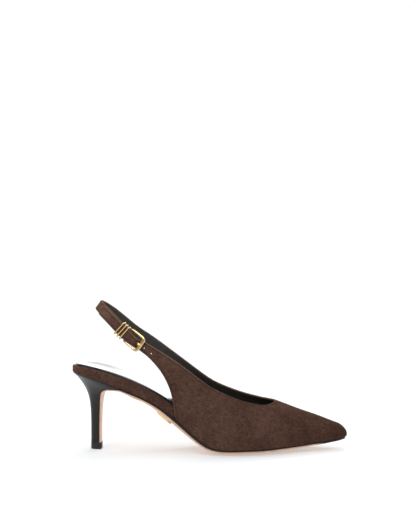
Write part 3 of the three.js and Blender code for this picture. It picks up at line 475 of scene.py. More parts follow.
def facing_out(points, faces):
    """The faces turned so that the closed piece's volume is positive."""
    volume = 0
    for face in faces:
        a = points[face[0]]
        for b, c in zip(face[1:-1], face[2:]):
            volume += np.dot(a, np.cross(points[b], points[c]))
    return faces if volume > 0 else [tuple(reversed(face)) for face in faces]


def solid_piece(name, rings, finish, slot, replaces=(), caps=True, tone=None):
    points, faces = loft(rings, caps)
    return make_piece(name, points, facing_out(points, faces), finish, slot, replaces, tone=tone)


def merged(parts):
    """The points and faces of several parts as one."""
    points, faces = [], []
    for part_points, part_faces in parts:
        first = sum(map(len, points))
        faces += [[i + first for i in face] for face in part_faces]
        points.append(part_points)
    return np.concatenate(points), faces


# Materials
def colour(red, green, blue):
    """A colour given as it looks on the screen, 0 to 255."""
    def linear(value):
        value /= 255
        return value / 12.92 if value < 0.04045 else ((value + 0.055) / 1.055) ** 2.4
    return (linear(red), linear(green), linear(blue), 1)


class Nodes:
    """The nodes of a material or of the world, with short ways to add more."""

    def __init__(self, owner, shader, coordinates):
        owner.use_nodes = True
        self.nodes = owner.node_tree.nodes
        self.links = owner.node_tree.links
        self.shader = self.nodes[shader]
        self.place = self.nodes.new("ShaderNodeTexCoord").outputs[coordinates]

    def feed(self, socket, value, into=None):
        """Links an output to a socket, or sets the socket to a plain value."""
        target = (into or self.shader).inputs[socket]
        if isinstance(value, bpy.types.NodeSocket):
            self.links.new(value, target)
        else:
            target.default_value = value

    def node(self, kind, output, sockets=None, **settings):
        """The output of a new node with these sockets and settings."""
        made = self.nodes.new(kind)
        for name, value in settings.items():
            setattr(made, name, value)
        for socket, value in (sockets or {}).items():
            self.feed(socket, value, made)
        return made.outputs[output]

    def noise(self, scale, detail=3, roughness=0.5, stretch=None, distortion=0):
        place = self.place
        if stretch:
            place = self.node("ShaderNodeMapping", "Vector", {"Vector": place, "Scale": stretch})
        return self.node("ShaderNodeTexNoise", "Fac", {
            "Vector": place, "Scale": scale, "Detail": detail, "Roughness": roughness,
            "Distortion": distortion})

    def total(self, *parts):
        """The sum of values, each times its weight."""
        result = 0.0
        for value, weight in parts:
            result = self.node("ShaderNodeMath", 0, {0: value, 1: weight, 2: result},
                               operation="MULTIPLY_ADD")
        return result

    def ramp(self, value, stops):
        made = self.nodes.new("ShaderNodeValToRGB")
        self.feed("Fac", value, made)
        elements = made.color_ramp.elements
        elements.remove(elements[1])
        elements[0].position, elements[0].color = stops[0]
        for position, shade in stops[1:]:
            elements.new(position).color = shade
        return made.outputs["Color"]

    def mottle(self, pattern, dark, light, low=0.3, high=0.7):
        """Sets the base colour, from dark to light with a pattern."""
        self.feed("Base Color", self.ramp(pattern, [(low, dark), (high, light)]))

    def rough(self, pattern, low, high):
        """Sets the roughness, from low to high with a pattern."""
        self.feed("Roughness", self.span(pattern, 0.3, 0.7, low, high))

    def span(self, value, low, high, to_low=0.0, to_high=1.0):
        return self.node("ShaderNodeMapRange", "Result", {
            "Value": value, "From Min": low, "From Max": high, "To Min": to_low, "To Max": to_high})

    def blend(self, share, a, b):
        return self.node("ShaderNodeMix", 2, {0: share, 6: a, 7: b}, data_type="RGBA")

    def axis(self, name, vector=None):
        return self.node("ShaderNodeSeparateXYZ", name, {"Vector": vector or self.place})

    # The edge_tone attribute: painted highlight and shade along the suede's edges, flatness on the sock
    def paleness(self):
        return self.node("ShaderNodeAttribute", "Fac", attribute_name="edge_tone")

    def bump(self, height, strength, distance):
        self.feed("Normal", self.node("ShaderNodeBump", "Normal", {
            "Height": height, "Strength": strength, "Distance": distance}))


class Finish(Nodes):
    """A material; its coat and its sheen each have a weight and a roughness."""

    def __init__(self, name, roughness, specular=0.5, metallic=0, coat=(0, 0.1), sheen=(0, 0.4)):
        self.material = bpy.data.materials.new(name)
        super().__init__(self.material, "Principled BSDF", "Object")
        for socket, value in {
                "Roughness": roughness, "Specular IOR Level": specular, "Metallic": metallic,
                "Coat Weight": coat[0], "Coat Roughness": coat[1], "Sheen Weight": sheen[0],
                "Sheen Roughness": sheen[1]}.items():
            self.feed(socket, value)


def suede_finish():
    """Suede: broad nap patches, fine mottling and a short nap, darker towards the toe and lighter higher
    up, with a painted highlight along its turned edges and painted shade in its stitch lines.
    """
    finish = Finish("brown_suede", 0.94, specular=0.02, sheen=(0.06, 0.5))
    finish.feed("Sheen Tint", colour(190, 150, 128))
    fine = finish.noise(720, 3, 0.75)
    # Tone: nap and mottling, darker towards the toe, lighter higher up, plus the edge_tone attribute's
    # painted highlight and painted shade
    tone = finish.total(
        (finish.noise(40, 3, 0.55, distortion=0.3), 0.34), (finish.noise(260, 4, 0.6), 0.3), (fine, 0.62),
        (finish.span(finish.axis("X"), 0.16, 0.232), -0.15),
        (finish.span(finish.axis("Z"), 0.06, 0.125), 0.1), (finish.paleness(), 1), (-0.115, 1))
    finish.feed("Base Color", finish.ramp(tone, [
        (0.3, colour(51, 34, 28)), (0.45, colour(71, 50, 42)), (0.6, colour(90, 66, 56)),
        (0.8, colour(118, 90, 77))]))
    finish.bump(finish.total((fine, 1), (finish.noise(1500, 2, 0.6), 0.6)), 0.5, 0.00025)
    return finish.material


def leather_finish(name, dark, light, roughness, grain=0.25, coat=0.0, throat=None):
    """Leather with a fine pebble grain and an uneven gloss; throat is a paler colour blended in towards
    the throat, painted light on the shade there.
    """
    finish = Finish(name, roughness, coat=(coat, 0.12))
    base = finish.ramp(finish.noise(160, 4, 0.6), [(0.35, dark), (0.65, light)])
    # Painted light: paler towards the throat, where the lining lies in shade
    if throat:
        base = finish.blend(finish.span(finish.axis("X"), 0.09, 0.14), base, throat)
    finish.feed("Base Color", base)
    finish.rough(finish.noise(320, 3), roughness - 0.05, roughness + 0.07)
    cells = finish.node("ShaderNodeTexVoronoi", "Distance", {"Vector": finish.place, "Scale": 1300.0},
                        feature="SMOOTH_F1")
    finish.bump(cells, grain, 0.00012)
    return finish


def sock_finish():
    """Glossy black leather, duller where its padded edge turns down to the rim."""
    finish = leather_finish("black_sock", colour(14, 14, 15), colour(22, 22, 23), 0.16, 0.1, 1.0)
    flat = finish.paleness()
    finish.feed("Coat Weight", flat)
    finish.feed("Specular IOR Level", finish.total((flat, 0.42), (0.08, 1)))
    return finish.material


def stacked_finish():
    """Black lacquer over stacked lifts, whose joints just show."""
    finish = Finish("heel_lacquer", 0.34, specular=0.3, coat=(0.06, 0.3))
    joints = finish.node("ShaderNodeTexWave", "Fac", {
        "Vector": finish.place, "Scale": 100.0, "Distortion": 0.6, "Detail": 2.0, "Detail Scale": 0.4,
    }, bands_direction="Z")
    worn = finish.total((joints, 0.35), (finish.noise(180, 3, 0.5), 1))
    finish.mottle(worn, colour(14, 10, 8), colour(25, 20, 17), 0.35, 1)
    finish.rough(finish.noise(240, 3), 0.28, 0.4)
    finish.bump(joints, 0.08, 0.0001)
    return finish.material


def sole_finish():
    """Smooth sole leather with a faint fibre pattern, its edge painted black round the toe."""
    finish = Finish("sole_leather", 0.42, specular=0.4, coat=(0.06, 0.3))
    bare = finish.ramp(finish.noise(220, 5, 0.6, stretch=(0.35, 1, 1)), [
        (0.3, colour(208, 166, 138)), (0.55, colour(222, 182, 154)), (0.8, colour(231, 196, 170))])
    facing = finish.axis("Z", finish.node("ShaderNodeNewGeometry", "Normal"))
    edge = finish.span(facing, -0.8, -0.55)
    front = finish.span(finish.axis("X"), 0.2, 0.209)
    finish.feed("Base Color", finish.blend(finish.total((edge, front)), bare, colour(24, 19, 16)))
    finish.bump(finish.noise(1800, 2), 0.12, 0.0001)
    return finish.material


def metal_finish():
    """Polished pale gold with fine hairlines."""
    finish = Finish("pale_gold", 0.16, metallic=1.0)
    hairs = finish.noise(900, 2, 0.5, stretch=(0.2, 1, 1))
    finish.mottle(finish.noise(300, 2), colour(224, 190, 126), colour(238, 210, 152))
    finish.rough(hairs, 0.08, 0.16)
    finish.bump(hairs, 0.04, 0.00005)
    return finish.material


def rubber_finish():
    finish = Finish("top_piece_rubber", 0.5, specular=0.4)
    finish.mottle(finish.noise(400, 3), colour(24, 24, 25), colour(38, 37, 38))
    finish.bump(finish.noise(1500, 2), 0.15, 0.0001)
    return finish.material


def thread_finish():
    finish = Finish("brown_thread", 0.75, sheen=(0.2, 0.4))
    finish.mottle(finish.noise(2500, 2), colour(34, 24, 19), colour(66, 49, 40))
    return finish.material


suede = suede_finish()
# The lining's throat colour is painted light, paler where the throat lies in shade
black = leather_finish("black_leather", colour(37, 35, 32), colour(51, 49, 45), 0.5,
                       throat=colour(76, 73, 68)).material
sock_black = sock_finish()
painted = leather_finish("painted_edge", colour(8, 6, 5), colour(15, 12, 10), 0.6, 0.1).material
sole_tan = sole_finish()
lacquer = stacked_finish()
gold = metal_finish()
rubber = rubber_finish()
thread = thread_finish()


# The upper: one sheet a side, whose open edges round off to half its wall
outer_rows = np.concatenate([strap_end_rows(), quarter_rows("outer")])
sheets = {"outer": outer_rows, "inner": quarter_rows("inner")}
END_ROWS = len(outer_rows) - len(sheets["inner"])
# The quarter's first row in each sheet, and a point of it, in rows and points, that faces outward
FIRST_ROW = {"outer": END_ROWS, "inner": 0}
TOLD_ROW = 40
TOLD_POINT = 20
VAMP_FROM = int(np.sum(upper_stations("inner")[2] < THROAT_REACH - 1e-6))
EDGE_TO = (EDGE_ROWS - 1) * ROW_SPLIT


def sheet_normals(side, rows):
    """The way out at each point of a side; one point of its quarter tells which way that is."""
    normal = np.cross(np.gradient(rows, axis=0), np.gradient(rows, axis=1))
    length = np.linalg.norm(normal, axis=-1)
    told = normal[FIRST_ROW[side] + TOLD_ROW, TOLD_POINT, 1]
    normal = unit(normal) * np.sign(told) * SIDES[side]
    normal[length < 1e-9] = (1, 0, 0)
    normal[-1] = (1, 0, 0)
    return normal


def dense(path, spacing=0.12):
    """The path with points no further apart than spacing."""
    out = [path[:1]]
    for a, b in zip(path[:-1], path[1:]):
        count = max(1, int(np.linalg.norm(b - a) / spacing))
        out.append(mix(a, b, (np.arange(1, count + 1) / count)[:, None]))
    return np.concatenate(out)


def distance_to(points, paths):
    found = np.concatenate([dense(path) for path in paths])
    tree = KDTree(len(found))
    for i, point in enumerate(found):
        tree.insert(point, i)
    tree.balance()
    flat = points.reshape(-1, 3)
    return np.array([tree.find(point)[2] for point in flat]).reshape(points.shape[:-1])


normals = {side: sheet_normals(side, rows) for side, rows in sheets.items()}
crest_normal = unit(sum(normals[side][FIRST_ROW[side] + VAMP_FROM:, -1] for side in SIDES))
open_edges = [outer_rows[0]]
for side, rows in sheets.items():
    normals[side][FIRST_ROW[side] + VAMP_FROM:, -1] = crest_normal
    open_edges += [rows[:FIRST_ROW[side] + EDGE_TO + 1, 0], rows[:FIRST_ROW[side] + VAMP_FROM + 1, -1]]
edge_distance = {side: distance_to(rows, open_edges) for side, rows in sheets.items()}

# Soft creases of the upper: share of the toe's reach and level along each, then width, depth
creases = {
    "outer": [
        ([(0.47, 0.28), (0.5, 0.1), (0.52, -0.2)], 5, 0.22),
        ([(0.56, 0.4), (0.6, 0.22), (0.63, -0.05)], 4.5, 0.16),
        ([(0.4, 0.2), (0.43, -0.1), (0.47, -0.5)], 6, 0.2),
        ([(0.7, 0.55), (0.76, 0.3), (0.8, 0.05)], 5, 0.14),
    ],
    "inner": [
        ([(0.46, 0.3), (0.5, 0.08), (0.53, -0.25)], 5, 0.22),
        ([(0.58, 0.45), (0.62, 0.2), (0.65, -0.1)], 4.5, 0.18),
        ([(0.38, 0.2), (0.41, -0.1), (0.44, -0.5)], 6, 0.2),
    ],
}


def crease_depth(side, rows):
    depth = np.zeros(rows.shape[:2])
    for points, width, deep in creases[side]:
        share = np.linspace(0, 1, len(points))
        reach, level = (line_through(share, column)(np.linspace(0, 1, 60)) for column in zip(*points))
        away = distance_to(rows, [last_point(side, reach * TOE_REACH, level)])
        depth += deep * (hump(away, 0, width) - 0.5 * hump(away, 2 * width, width))
    return depth


STITCH_IN = 1.7


def edge_relief(distance):
    """The turned edge is a little fuller than the leather, down to the stitch line that draws it in."""
    return 0.12 * hump(distance, 0.7, 0.6) - 0.14 * hump(distance, STITCH_IN, 0.3)


def edge_tone(distance):
    """Painted light: a painted highlight on the turned edge and painted shade in the stitch line."""
    return 0.36 * hump(distance, 0, 0.55) - 0.14 * hump(distance, STITCH_IN, 0.35)


def edge_dip(distance):
    radius = WALL / 2
    return radius * (1 - round_off(distance, radius))


# How far in and down the lasted edge goes under the last, from its inner end
UNDER_STEPS = ((2, -0.28), (0.35, -0.22))


def skin(side, offset, lasted_from=None):
    """The side's surface moved in by a depth for each point, drawn under the last from a row on."""
    rows = sheets[side] - normals[side] * offset[..., None]
    if lasted_from is None:
        return rows
    inward = unit(normals[side][:, 0] * (-1, -1, 0))
    lasted = (np.arange(len(rows)) >= lasted_from)[:, None]
    under = [rows[:, 0] + lasted * (inward * reach + (0, 0, drop)) for reach, drop in UNDER_STEPS]
    return np.concatenate([np.stack(under, 1), rows], 1)


# The strap's holes, by the reach and the height of their middles
hole_table = [(46.6, 94.7), (53.4, 89.7)]
closed_hole = (33.5, 102.2)
HOLE_RADIUS = 0.5
HOLE_COLLAR = 1.75


def hole_axes(table):
    points = outer_rows.reshape(-1, 3)
    facing = normals["outer"].reshape(-1, 3)
    for x, z in table:
        nearest = np.argmin((points[:, 0] - x) ** 2 + (points[:, 2] - z) ** 2)
        yield points[nearest], facing[nearest]


def punched(rows, faces, table):
    """The faces without those that a hole cuts; faces index rows flattened, from zero."""
    points = rows.reshape(-1, 3)
    kept = np.ones(len(faces), bool)
    share = np.linspace(0, 1, 6)[:, None]
    for centre, facing in hole_axes(table):
        away = np.linalg.norm(points[faces].mean(1) - centre, axis=1)
        for i in np.nonzero(away < 8 * HOLE_RADIUS)[0]:
            a, b, c, d = points[faces[i]]
            low = mix(a, b, share)[:, None]
            high = mix(d, c, share)[:, None]
            filled = mix(low, high, share).reshape(-1, 3) - centre
            across = filled - np.outer(filled @ facing, facing)
            kept[i] = np.linalg.norm(across, axis=1).min() > HOLE_RADIUS
    return faces[kept]


LINING_IN = 1.1
LINING_LIFT = 0.3
LINING_BACK = 4
CREASES_FROM = 3
CREASE_FADE = 6
suede_parts, suede_painted_light, lining_parts = [], [], []
for side in SIDES:
    flipped = side == "inner"
    through, closed = (hole_table, [closed_hole]) if side == "outer" else ([], [])
    away = edge_distance[side]
    crease = crease_depth(side, sheets[side]) * ease((away - CREASES_FROM) / CREASE_FADE)
    outside = skin(side, edge_dip(away) + crease - edge_relief(away) * (away > 0.02),
                   FIRST_ROW[side] + EDGE_TO)
    inside = skin(side, WALL - edge_dip(away) + crease)
    # The painted highlight on the turned edges and the painted shade in the stitch lines, for each point
    tone = edge_tone(away)
    outside_painted_light = np.concatenate([np.zeros((len(tone), 2)), tone], 1)
    for rows, turned, holes, rows_painted_light in ((outside, flipped, through + closed, outside_painted_light),
                                           (inside, not flipped, through, tone)):
        faces = punched(rows, grid_faces(*rows.shape[:2], flipped=turned), holes)
        suede_parts.append((rows.reshape(-1, 3), faces))
        suede_painted_light.append(rows_painted_light.reshape(-1))
    cover = skin(side, WALL + crease - 0.05 + LINING_LIFT * ease((away - LINING_IN) / 0.35))
    kept = grid_faces(*cover.shape[:2], flipped=not flipped)
    near = away.reshape(-1)[kept].min(1) >= LINING_IN - 0.15
    near &= kept.min(1) // cover.shape[1] >= FIRST_ROW[side] - LINING_BACK
    lining_parts.append((cover.reshape(-1, 3), punched(cover, kept[near], through)))

# The inner side's root edge is closed between its two surfaces
points, faces = merged(suede_parts)
inside_edge = len(points) - inside[..., 0].size + np.arange(inside.shape[1] - 1)
outside_edge = inside_edge - outside[..., 0].size + 2
faces += np.stack([outside_edge, inside_edge, inside_edge + 1, outside_edge + 1], -1).tolist()
make_piece("upper_suede", points, faces, suede, "suede", ["upper"], tone=np.concatenate(suede_painted_light))
make_piece("upper_lining", *merged(lining_parts), black, "black_leather")


def strap_hole(index, centre, facing):
    """The collar of a hole and its wall through the strap, or for the first, which is closed, its collar
    and a black floor that is painted shade.
    """
    side = unit(np.cross(facing, (0.2, 0.1, 1)))
    angle = circle(24)
    ring = np.outer(np.cos(angle), side) + np.outer(np.sin(angle), np.cross(side, facing))
    levels = [(HOLE_COLLAR, 0.1), (HOLE_COLLAR - 0.2, -0.03), (1.0, -0.06), (0.75, 0.0)]
    deep = WALL + 0.3
    if index == 1:
        levels.append((0.68, 0.08))
    else:
        levels += [(HOLE_RADIUS, 0.2), (HOLE_RADIUS, deep - 0.1), (0.8, deep), (1.4, deep),
                   (HOLE_COLLAR, deep - 0.15)]
    rings = [centre + ring * radius - facing * depth for radius, depth in levels]
    make_piece(f"strap_hole_{index}", *loft(rings, caps=False), suede, "suede")
    if index == 1:
        # The closed hole's black floor is painted shade, dark as the inside of a hole
        middle = centre - facing * levels[-1][1]
        shade_rings = [rings[-1], mix(middle, rings[-1], 0.02)]
        make_piece("strap_hole_painted_shade", *loft(shade_rings, caps=False), painted, "black_leather")


for hole_index, (hole_centre, hole_facing) in enumerate(hole_axes([closed_hole] + hole_table), 1):
    strap_hole(hole_index, hole_centre, hole_facing)


# Small parts along a path
def tube(path, radius, sides=8, closed=False, up=(0.13, 0.27, 0.95)):
    """Rings of a round bar along a path of points."""
    path = np.asarray(path, float)
    if closed:
        along = unit(np.roll(path, -1, 0) - np.roll(path, 1, 0))
    else:
        along = unit(np.gradient(path, axis=0))
    side = unit(np.cross(along, up))
    lift = np.cross(side, along)
    angle = circle(sides)[:, None]
    radius = np.broadcast_to(radius, len(path))[:, None, None]
    return path[:, None] + (side[:, None] * np.cos(angle) + lift[:, None] * np.sin(angle)) * radius


STITCH_LENGTH = 2.1
STITCH_PITCH = 3
STITCH_RADIUS = 0.2
stitch_bow = np.array([-0.3, 0.35, 0.7, 0.8, 0.7, 0.35, -0.3])
stitch_round = np.array([0.5, 0.9, 1, 1, 1, 0.9, 0.5])


def stitches(name, path, out, lift=-0.06):
    """A run of stitches along a path; out holds the direction away from the leather at each point."""
    along = run_along(path)
    parts = []
    for start in np.arange(0.5, along[-1] - STITCH_LENGTH, STITCH_PITCH):
        at = start + np.linspace(0, 1, len(stitch_bow)) * STITCH_LENGTH
        away = unit(picked(at, along, out))
        centre = picked(at, along, path) + away * (stitch_bow * STITCH_RADIUS + lift)[:, None]
        points, faces = loft(tube(centre, STITCH_RADIUS * stitch_round, 6, up=away))
        parts.append((points, facing_out(points, faces)))
    make_piece(name, *merged(parts), thread, "suede", welded=False)


def inset_line(side, rows_from, rows_to, from_top, inset=STITCH_IN):
    """Points at an inset from the top or the low end of each row, and the way out at them."""
    part = (slice(rows_from, rows_to), slice(None, None, -1 if from_top else 1))
    points, out = [], []
    for row, away in zip(sheets[side][part], normals[side][part]):
        along = run_along(row)
        at = min(inset, along[-1] / 2)
        points.append(picked(at, along, row))
        out.append(picked(at, along, away))
    return np.array(points), np.array(out)


def level_line(side):
    """A line at an even distance below the whole topline, round the throat as well."""
    rows, facing, away = (part[side][FIRST_ROW[side]:, ::-1] for part in (sheets, normals, edge_distance))
    points, out = [], []
    for i in range(2, VAMP_FROM + 12):
        past = np.nonzero(away[i] >= STITCH_IN)[0]
        if i >= VAMP_FROM and away[i, 0] >= STITCH_IN:
            break
        if len(past):
            k = past[0]
            share = (STITCH_IN - away[i, k - 1]) / max(away[i, k] - away[i, k - 1], 1e-9)
            points.append(mix(rows[i, k - 1], rows[i, k], share))
            out.append(mix(facing[i, k - 1], facing[i, k], share))
    return np.array(points), np.array(out)


for side in SIDES:
    stitches(f"topline_stitches_{side}", *level_line(side))
    first = FIRST_ROW[side]
    stitches(f"rear_edge_stitches_{side}", *inset_line(side, first + 2, first + EDGE_TO - 1, False))
for label in ("upper", "lower"):
    stitches(f"strap_end_stitches_{label}", *inset_line("outer", 9, END_ROWS + 2, label == "upper", 1.5))


# The heel strap: suede outside and over its edges, black leather inside
def rounded_box(left, right, low, high, corner, steps):
    """The outline of a box with round corners, each point across and out."""
    outline = []
    for i, (across, out) in enumerate(((right - corner, high - corner), (left + corner, high - corner),
                                       (left + corner, low + corner), (right - corner, low + corner))):
        angle = (i + np.linspace(0, 1, steps)) * PI / 2
        outline.append(np.stack([across + corner * np.cos(angle), out + corner * np.sin(angle)], -1))
    return np.concatenate(outline)


def sling_sections(turns, width, inside, outside, corner):
    """Rings of the strap between two depths, and how far each of their points is from its edge."""
    rings, away = [], []
    for turn, wide, low, high in np.broadcast(turns, width, inside, outside):
        ring = rounded_box(-wide / 2, wide / 2, low, high, min(corner, (high - low) / 2), 5)
        rings.append(band_point(np.full(len(ring), turn), ring[:, 0], ring[:, 1]))
        away.append(wide / 2 - abs(ring[:, 0]))
    return np.array(rings), np.array(away)


BACK_WIDTH = 0.88
HINGE_NARROW = 0.06


def sling_width(turn):
    """The strap's width, less at the back and at the hinge, and the quarter's own at its root."""
    first = turn_after(HINGE_AT)
    share = (turn - first) / (1 - first)
    narrow = mix(1, BACK_WIDTH, np.cos(turn * PI / 2) ** 2)
    narrow -= HINGE_NARROW * ease(1 - share / HINGE_NARROW)
    return mix(SLING_WIDTH * narrow, root["inner"]["width"], ease((turn - 0.5) / 0.5))


SLING_END = 0.998
ROOT_FROM = 0.88
SUEDE_FROM = -0.85
sling_start = float(turn_after(HINGE_AT + HINGE_RADIUS + GAP + 0.2))
sling_turns = np.linspace(sling_start, SLING_END, 170)
sling_widths = sling_width(sling_turns)
near_root = ease((sling_turns - ROOT_FROM) / (SLING_END - ROOT_FROM))
sling_outside = mix(SLING_THICKNESS / 2, WALL / 2, near_root)
sling_rings, from_edge = sling_sections(sling_turns, sling_widths, SUEDE_FROM, sling_outside, 0.8)
# Its edges are paler: a painted highlight along them
solid_piece("heel_strap_suede", sling_rings, suede, "suede", ["sling_strap"],
            tone=0.24 * hump(from_edge, 0, 0.4))
sling_rings, _ = sling_sections(sling_turns, sling_widths - 2, mix(-1, -1.05, near_root), -0.7, 0.14)
solid_piece("heel_strap_lining", sling_rings, black, "black_leather")
for label, sign in (("upper", 1), ("lower", -1)):
    line = band_point(sling_turns, sign * (sling_widths / 2 - 1.5), np.ones(len(sling_turns)))
    stitches(f"heel_strap_stitches_{label}", line[2:-2], sling_frame(sling_turns)[3][2:-2], lift=-0.05)


def in_strap(points, distance, out):
    """Points given as along, across and out of the strap, put at a distance along it."""
    centre, along, across, away = (part[0] for part in sling_frame(turn_after(distance)))
    return centre + away * out + np.asarray(points) @ np.array([along, across, away])


def hinge_turned(levels):
    """A closed part turned about the hinge bar, from levels of a place across and a radius."""
    angle = circle(32)
    rings = [np.stack([radius * np.cos(angle), np.full(32, across), radius * np.sin(angle)], -1)
             for across, radius in levels + levels[:1]]
    points, faces = loft(in_strap(rings, HINGE_AT, HINGE_OUT), caps=False)
    return points, facing_out(points, faces)


# The strap's fold round the hinge bar, in two lugs beside the prong
def fold_lug(low, high):
    soft = 0.25
    bore = HINGE_RADIUS + GAP / 2
    return hinge_turned([(low, FOLD_RADIUS - soft), (low + soft, FOLD_RADIUS), (high - soft, FOLD_RADIUS),
                         (high, FOLD_RADIUS - soft), (high, bore), (low, bore)])


slot_half = PRONG_WIDTH / 2 + GAP
fold_half = (SLING_WIDTH - 1) / 2
make_piece("strap_fold", *merged([fold_lug(-fold_half, -slot_half), fold_lug(slot_half, fold_half)]),
           suede, "suede")


# The buckle: a flat-topped frame, broad at the front, on a round hinge bar
def frame_directions():
    hinge = band_point(turn_after(HINGE_AT), 0, HINGE_OUT)[0]
    lift = SHEET_LIFT["outer"] + GAP + FRAME_THICKNESS / 2 + FRAME_LIFT
    front = band_point(turn_after(FRONT_BAR_AT), 0, lift)[0]
    reach = np.linalg.norm(front - hinge)
    along = (front - hinge) / reach
    lean = sling_frame(turn_after((HINGE_AT + FRONT_BAR_AT) / 2))[2][0]
    across = unit(lean - along * np.dot(lean, along))
    return hinge, np.array([along, across, np.cross(along, across)]), reach


frame_hinge, frame_axes, frame_front = frame_directions()


def in_frame(points):
    return frame_hinge + np.asarray(points) @ frame_axes


def superellipse(half_wide, half_deep, sides=20, power=2.7):
    c, s = np.cos(circle(sides)), np.sin(circle(sides))
    return np.stack([half_wide * np.sign(c) * abs(c) ** (2 / power),
                     half_deep * np.sign(s) * abs(s) ** (2 / power)], -1)


def bend(a, b, c, steps=12):
    """A curve from a to c that leaves and arrives along the lines to b."""
    t = np.linspace(0, 1, steps)[:, None]
    a, b, c = map(np.array, (a, b, c))
    return a * (1 - t) ** 2 + 2 * b * t * (1 - t) + c * t ** 2


def frame_outline(narrow, wide, front, corner):
    """One outline of the open frame, from one leg's end round the front bar to the other's."""
    rear = -HINGE_RADIUS - GAP
    leg_middle = (rear + frame_front + FRONT_BAR / 2 - FRAME_CORNER) / 2
    leg = bend((rear, narrow), (leg_middle, wide), (front - corner, wide))
    turn = bend((front - corner, wide), (front, wide), (front, wide - corner))
    half = np.concatenate([leg, turn[1:]])
    mirrored = half[::-1] * (1, -1)
    bar = np.linspace(half[-1], mirrored[0], 8)[1:-1]
    return np.concatenate([half, bar, mirrored])


def buckle_frame():
    wide = FRAME_SPAN / 2
    narrow = wide - FRAME_TAPER
    outer = frame_outline(narrow, wide, frame_front + FRONT_BAR / 2, FRAME_CORNER)
    inner = frame_outline(narrow - SIDE_BAR + LEG_TAPER, wide - SIDE_BAR, frame_front - FRONT_BAR / 2,
                          FRAME_CORNER * 0.36)
    rings = []
    for i, (a, b) in enumerate(zip(outer, inner)):
        across = unit(a - b)
        half = np.linalg.norm(a - b) / 2
        end = min(1, (min(i, len(outer) - 1 - i) + 1) / 2.5)
        section = superellipse(half * (0.75 + 0.25 * end), FRAME_THICKNESS / 2 * (0.7 + 0.3 * end))
        flat = (a + b) / 2 + section[:, :1] * across
        rings.append(np.concatenate([flat, section[:, 1:]], 1))
    solid_piece("buckle_frame_gold", in_frame(rings), gold, "gold_metal", ["buckle_frame"])
    bar_half = narrow - 0.5
    bar = np.linspace((0, -bar_half, 0), (0, bar_half, 0), 9)
    solid_piece("hinge_bar", in_frame(tube(bar, HINGE_RADIUS, 20)), gold, "gold_metal")


buckle_frame()

# The prong's height over the hinge bar, by how far ahead of it
prong_height = columns(["height"], [
    (0.9, 0.95), (3, 0.95), (5.4, 0.95), (7.2, 1.1), (8.7, 1.9), (10.2, 3.6), (11.4, 5.1), (12.4, 6.3),
    (13.3, 6.85), (15.3, 7.6),
], 1)["height"]
PRONG_FROM = 0.9
PRONG_REACH = 15.3
PRONG_POINT = 2.9


def buckle_prong():
    ahead = np.linspace(PRONG_FROM, PRONG_REACH, 50)
    slope = slope_of(prong_height, ahead)
    length = np.hypot(1, slope)
    rings = []
    for x, tilt, lift in zip(ahead, slope / length, 1 / length):
        taper = mix(1, 0.6, ease((x - PRONG_REACH + PRONG_POINT) / PRONG_POINT))
        across, out = superellipse(PRONG_WIDTH / 2 * taper, PRONG_THICKNESS / 2 * taper, 18, 2.5).T
        rings.append(band_point(turn_after(HINGE_AT - x + tilt * out), across,
                                HINGE_OUT + prong_height(x) + out * lift))
    solid_piece("prong_gold", rings, gold, "gold_metal", ["buckle_prong"])
    eye = [(-0.5, 1.0), (-0.42, 1.75), (-0.3, 1.8), (0.3, 1.8), (0.42, 1.75), (0.5, 1.0)]
    eye = [(across * PRONG_WIDTH, radius) for across, radius in eye]
    make_piece("prong_eye", *hinge_turned(eye), gold, "gold_metal")


buckle_prong()


def keeper_ring(index):
    """A wire ring round the strap and its end, a little wider on its low side."""
    half = SLING_WIDTH / 2 + GAP + WIRE_RADIUS
    inside = -SLING_THICKNESS / 2 - GAP - WIRE_RADIUS
    outside = SHEET_LIFT["outer"] + GAP + WIRE_RADIUS
    place = turn_after(FIRST_RING_AT + index * RING_PITCH)
    outline = rounded_box(-half - 0.4, half, inside, outside, 1.4, 8)
    path = band_point(place, *outline.T)
    rings = tube(path, WIRE_RADIUS, 16, closed=True, up=sling_frame(place)[1][0])
    solid_piece(f"ring_gold_{index + 1}", np.concatenate([rings, rings[:1]]), gold, "gold_metal",
                [f"keeper_ring_{index + 1}"], caps=False)


for ring_index in range(3):
    keeper_ring(ring_index)


# Plan outline of the footbed and of the sole
def plan_half(side, x, inset):
    """The sole line moved in by an inset along its own normal."""
    slope = slope_of(lambda at: sole_line(side, at), x)
    length = np.hypot(1, slope)
    return x + SIDES[side] * slope * inset / length, sole_line(side, x) - SIDES[side] * inset / length


def sole_stations(start, end, count, back_power):
    share = np.arange(count + 1) / count
    return mix(start, end, mix(share ** back_power, 1 - (1 - share) ** 1.9, ease(share)))


foot_thick = columns(["thick"], [
    (-0.094, 0.32), (-0.055, 0.566), (0, 0.719), (0.087, 0.941), (0.174, 0.964), (0.239, 0.945),
    (0.304, 0.98), (0.369, 0.8), (0.421, 0.445), (0.477, 0.11), (0.56, 0), (1, 0),
])["thick"]


def footbed_top(x):
    return profile(x) + INSOLE_THICKNESS + (FOOTBED_EDGE - INSOLE_THICKNESS) * foot_thick(x)


FOOTBED_FRONT = TOE_REACH - WALL - GAP - 1.1
HIDE_LENGTH = 26


def footbed_outline(count=150):
    """Both sides of the footbed's plan, from the back of the seat to the toe."""
    x = sole_stations(-SEAT_REACH + 0.03, FOOTBED_FRONT, count, 2.4)
    inset = (WALL + GAP + 0.15) * ease((x - COVER_START + HIDE_LENGTH) / HIDE_LENGTH)
    halves = []
    for side in SIDES:
        px, py = plan_half(side, x, inset)
        halves.append(np.stack([mix(x, px, ease(inset)), py * round_off(x + SEAT_REACH, SEAT_ROUND)], -1))
    return halves


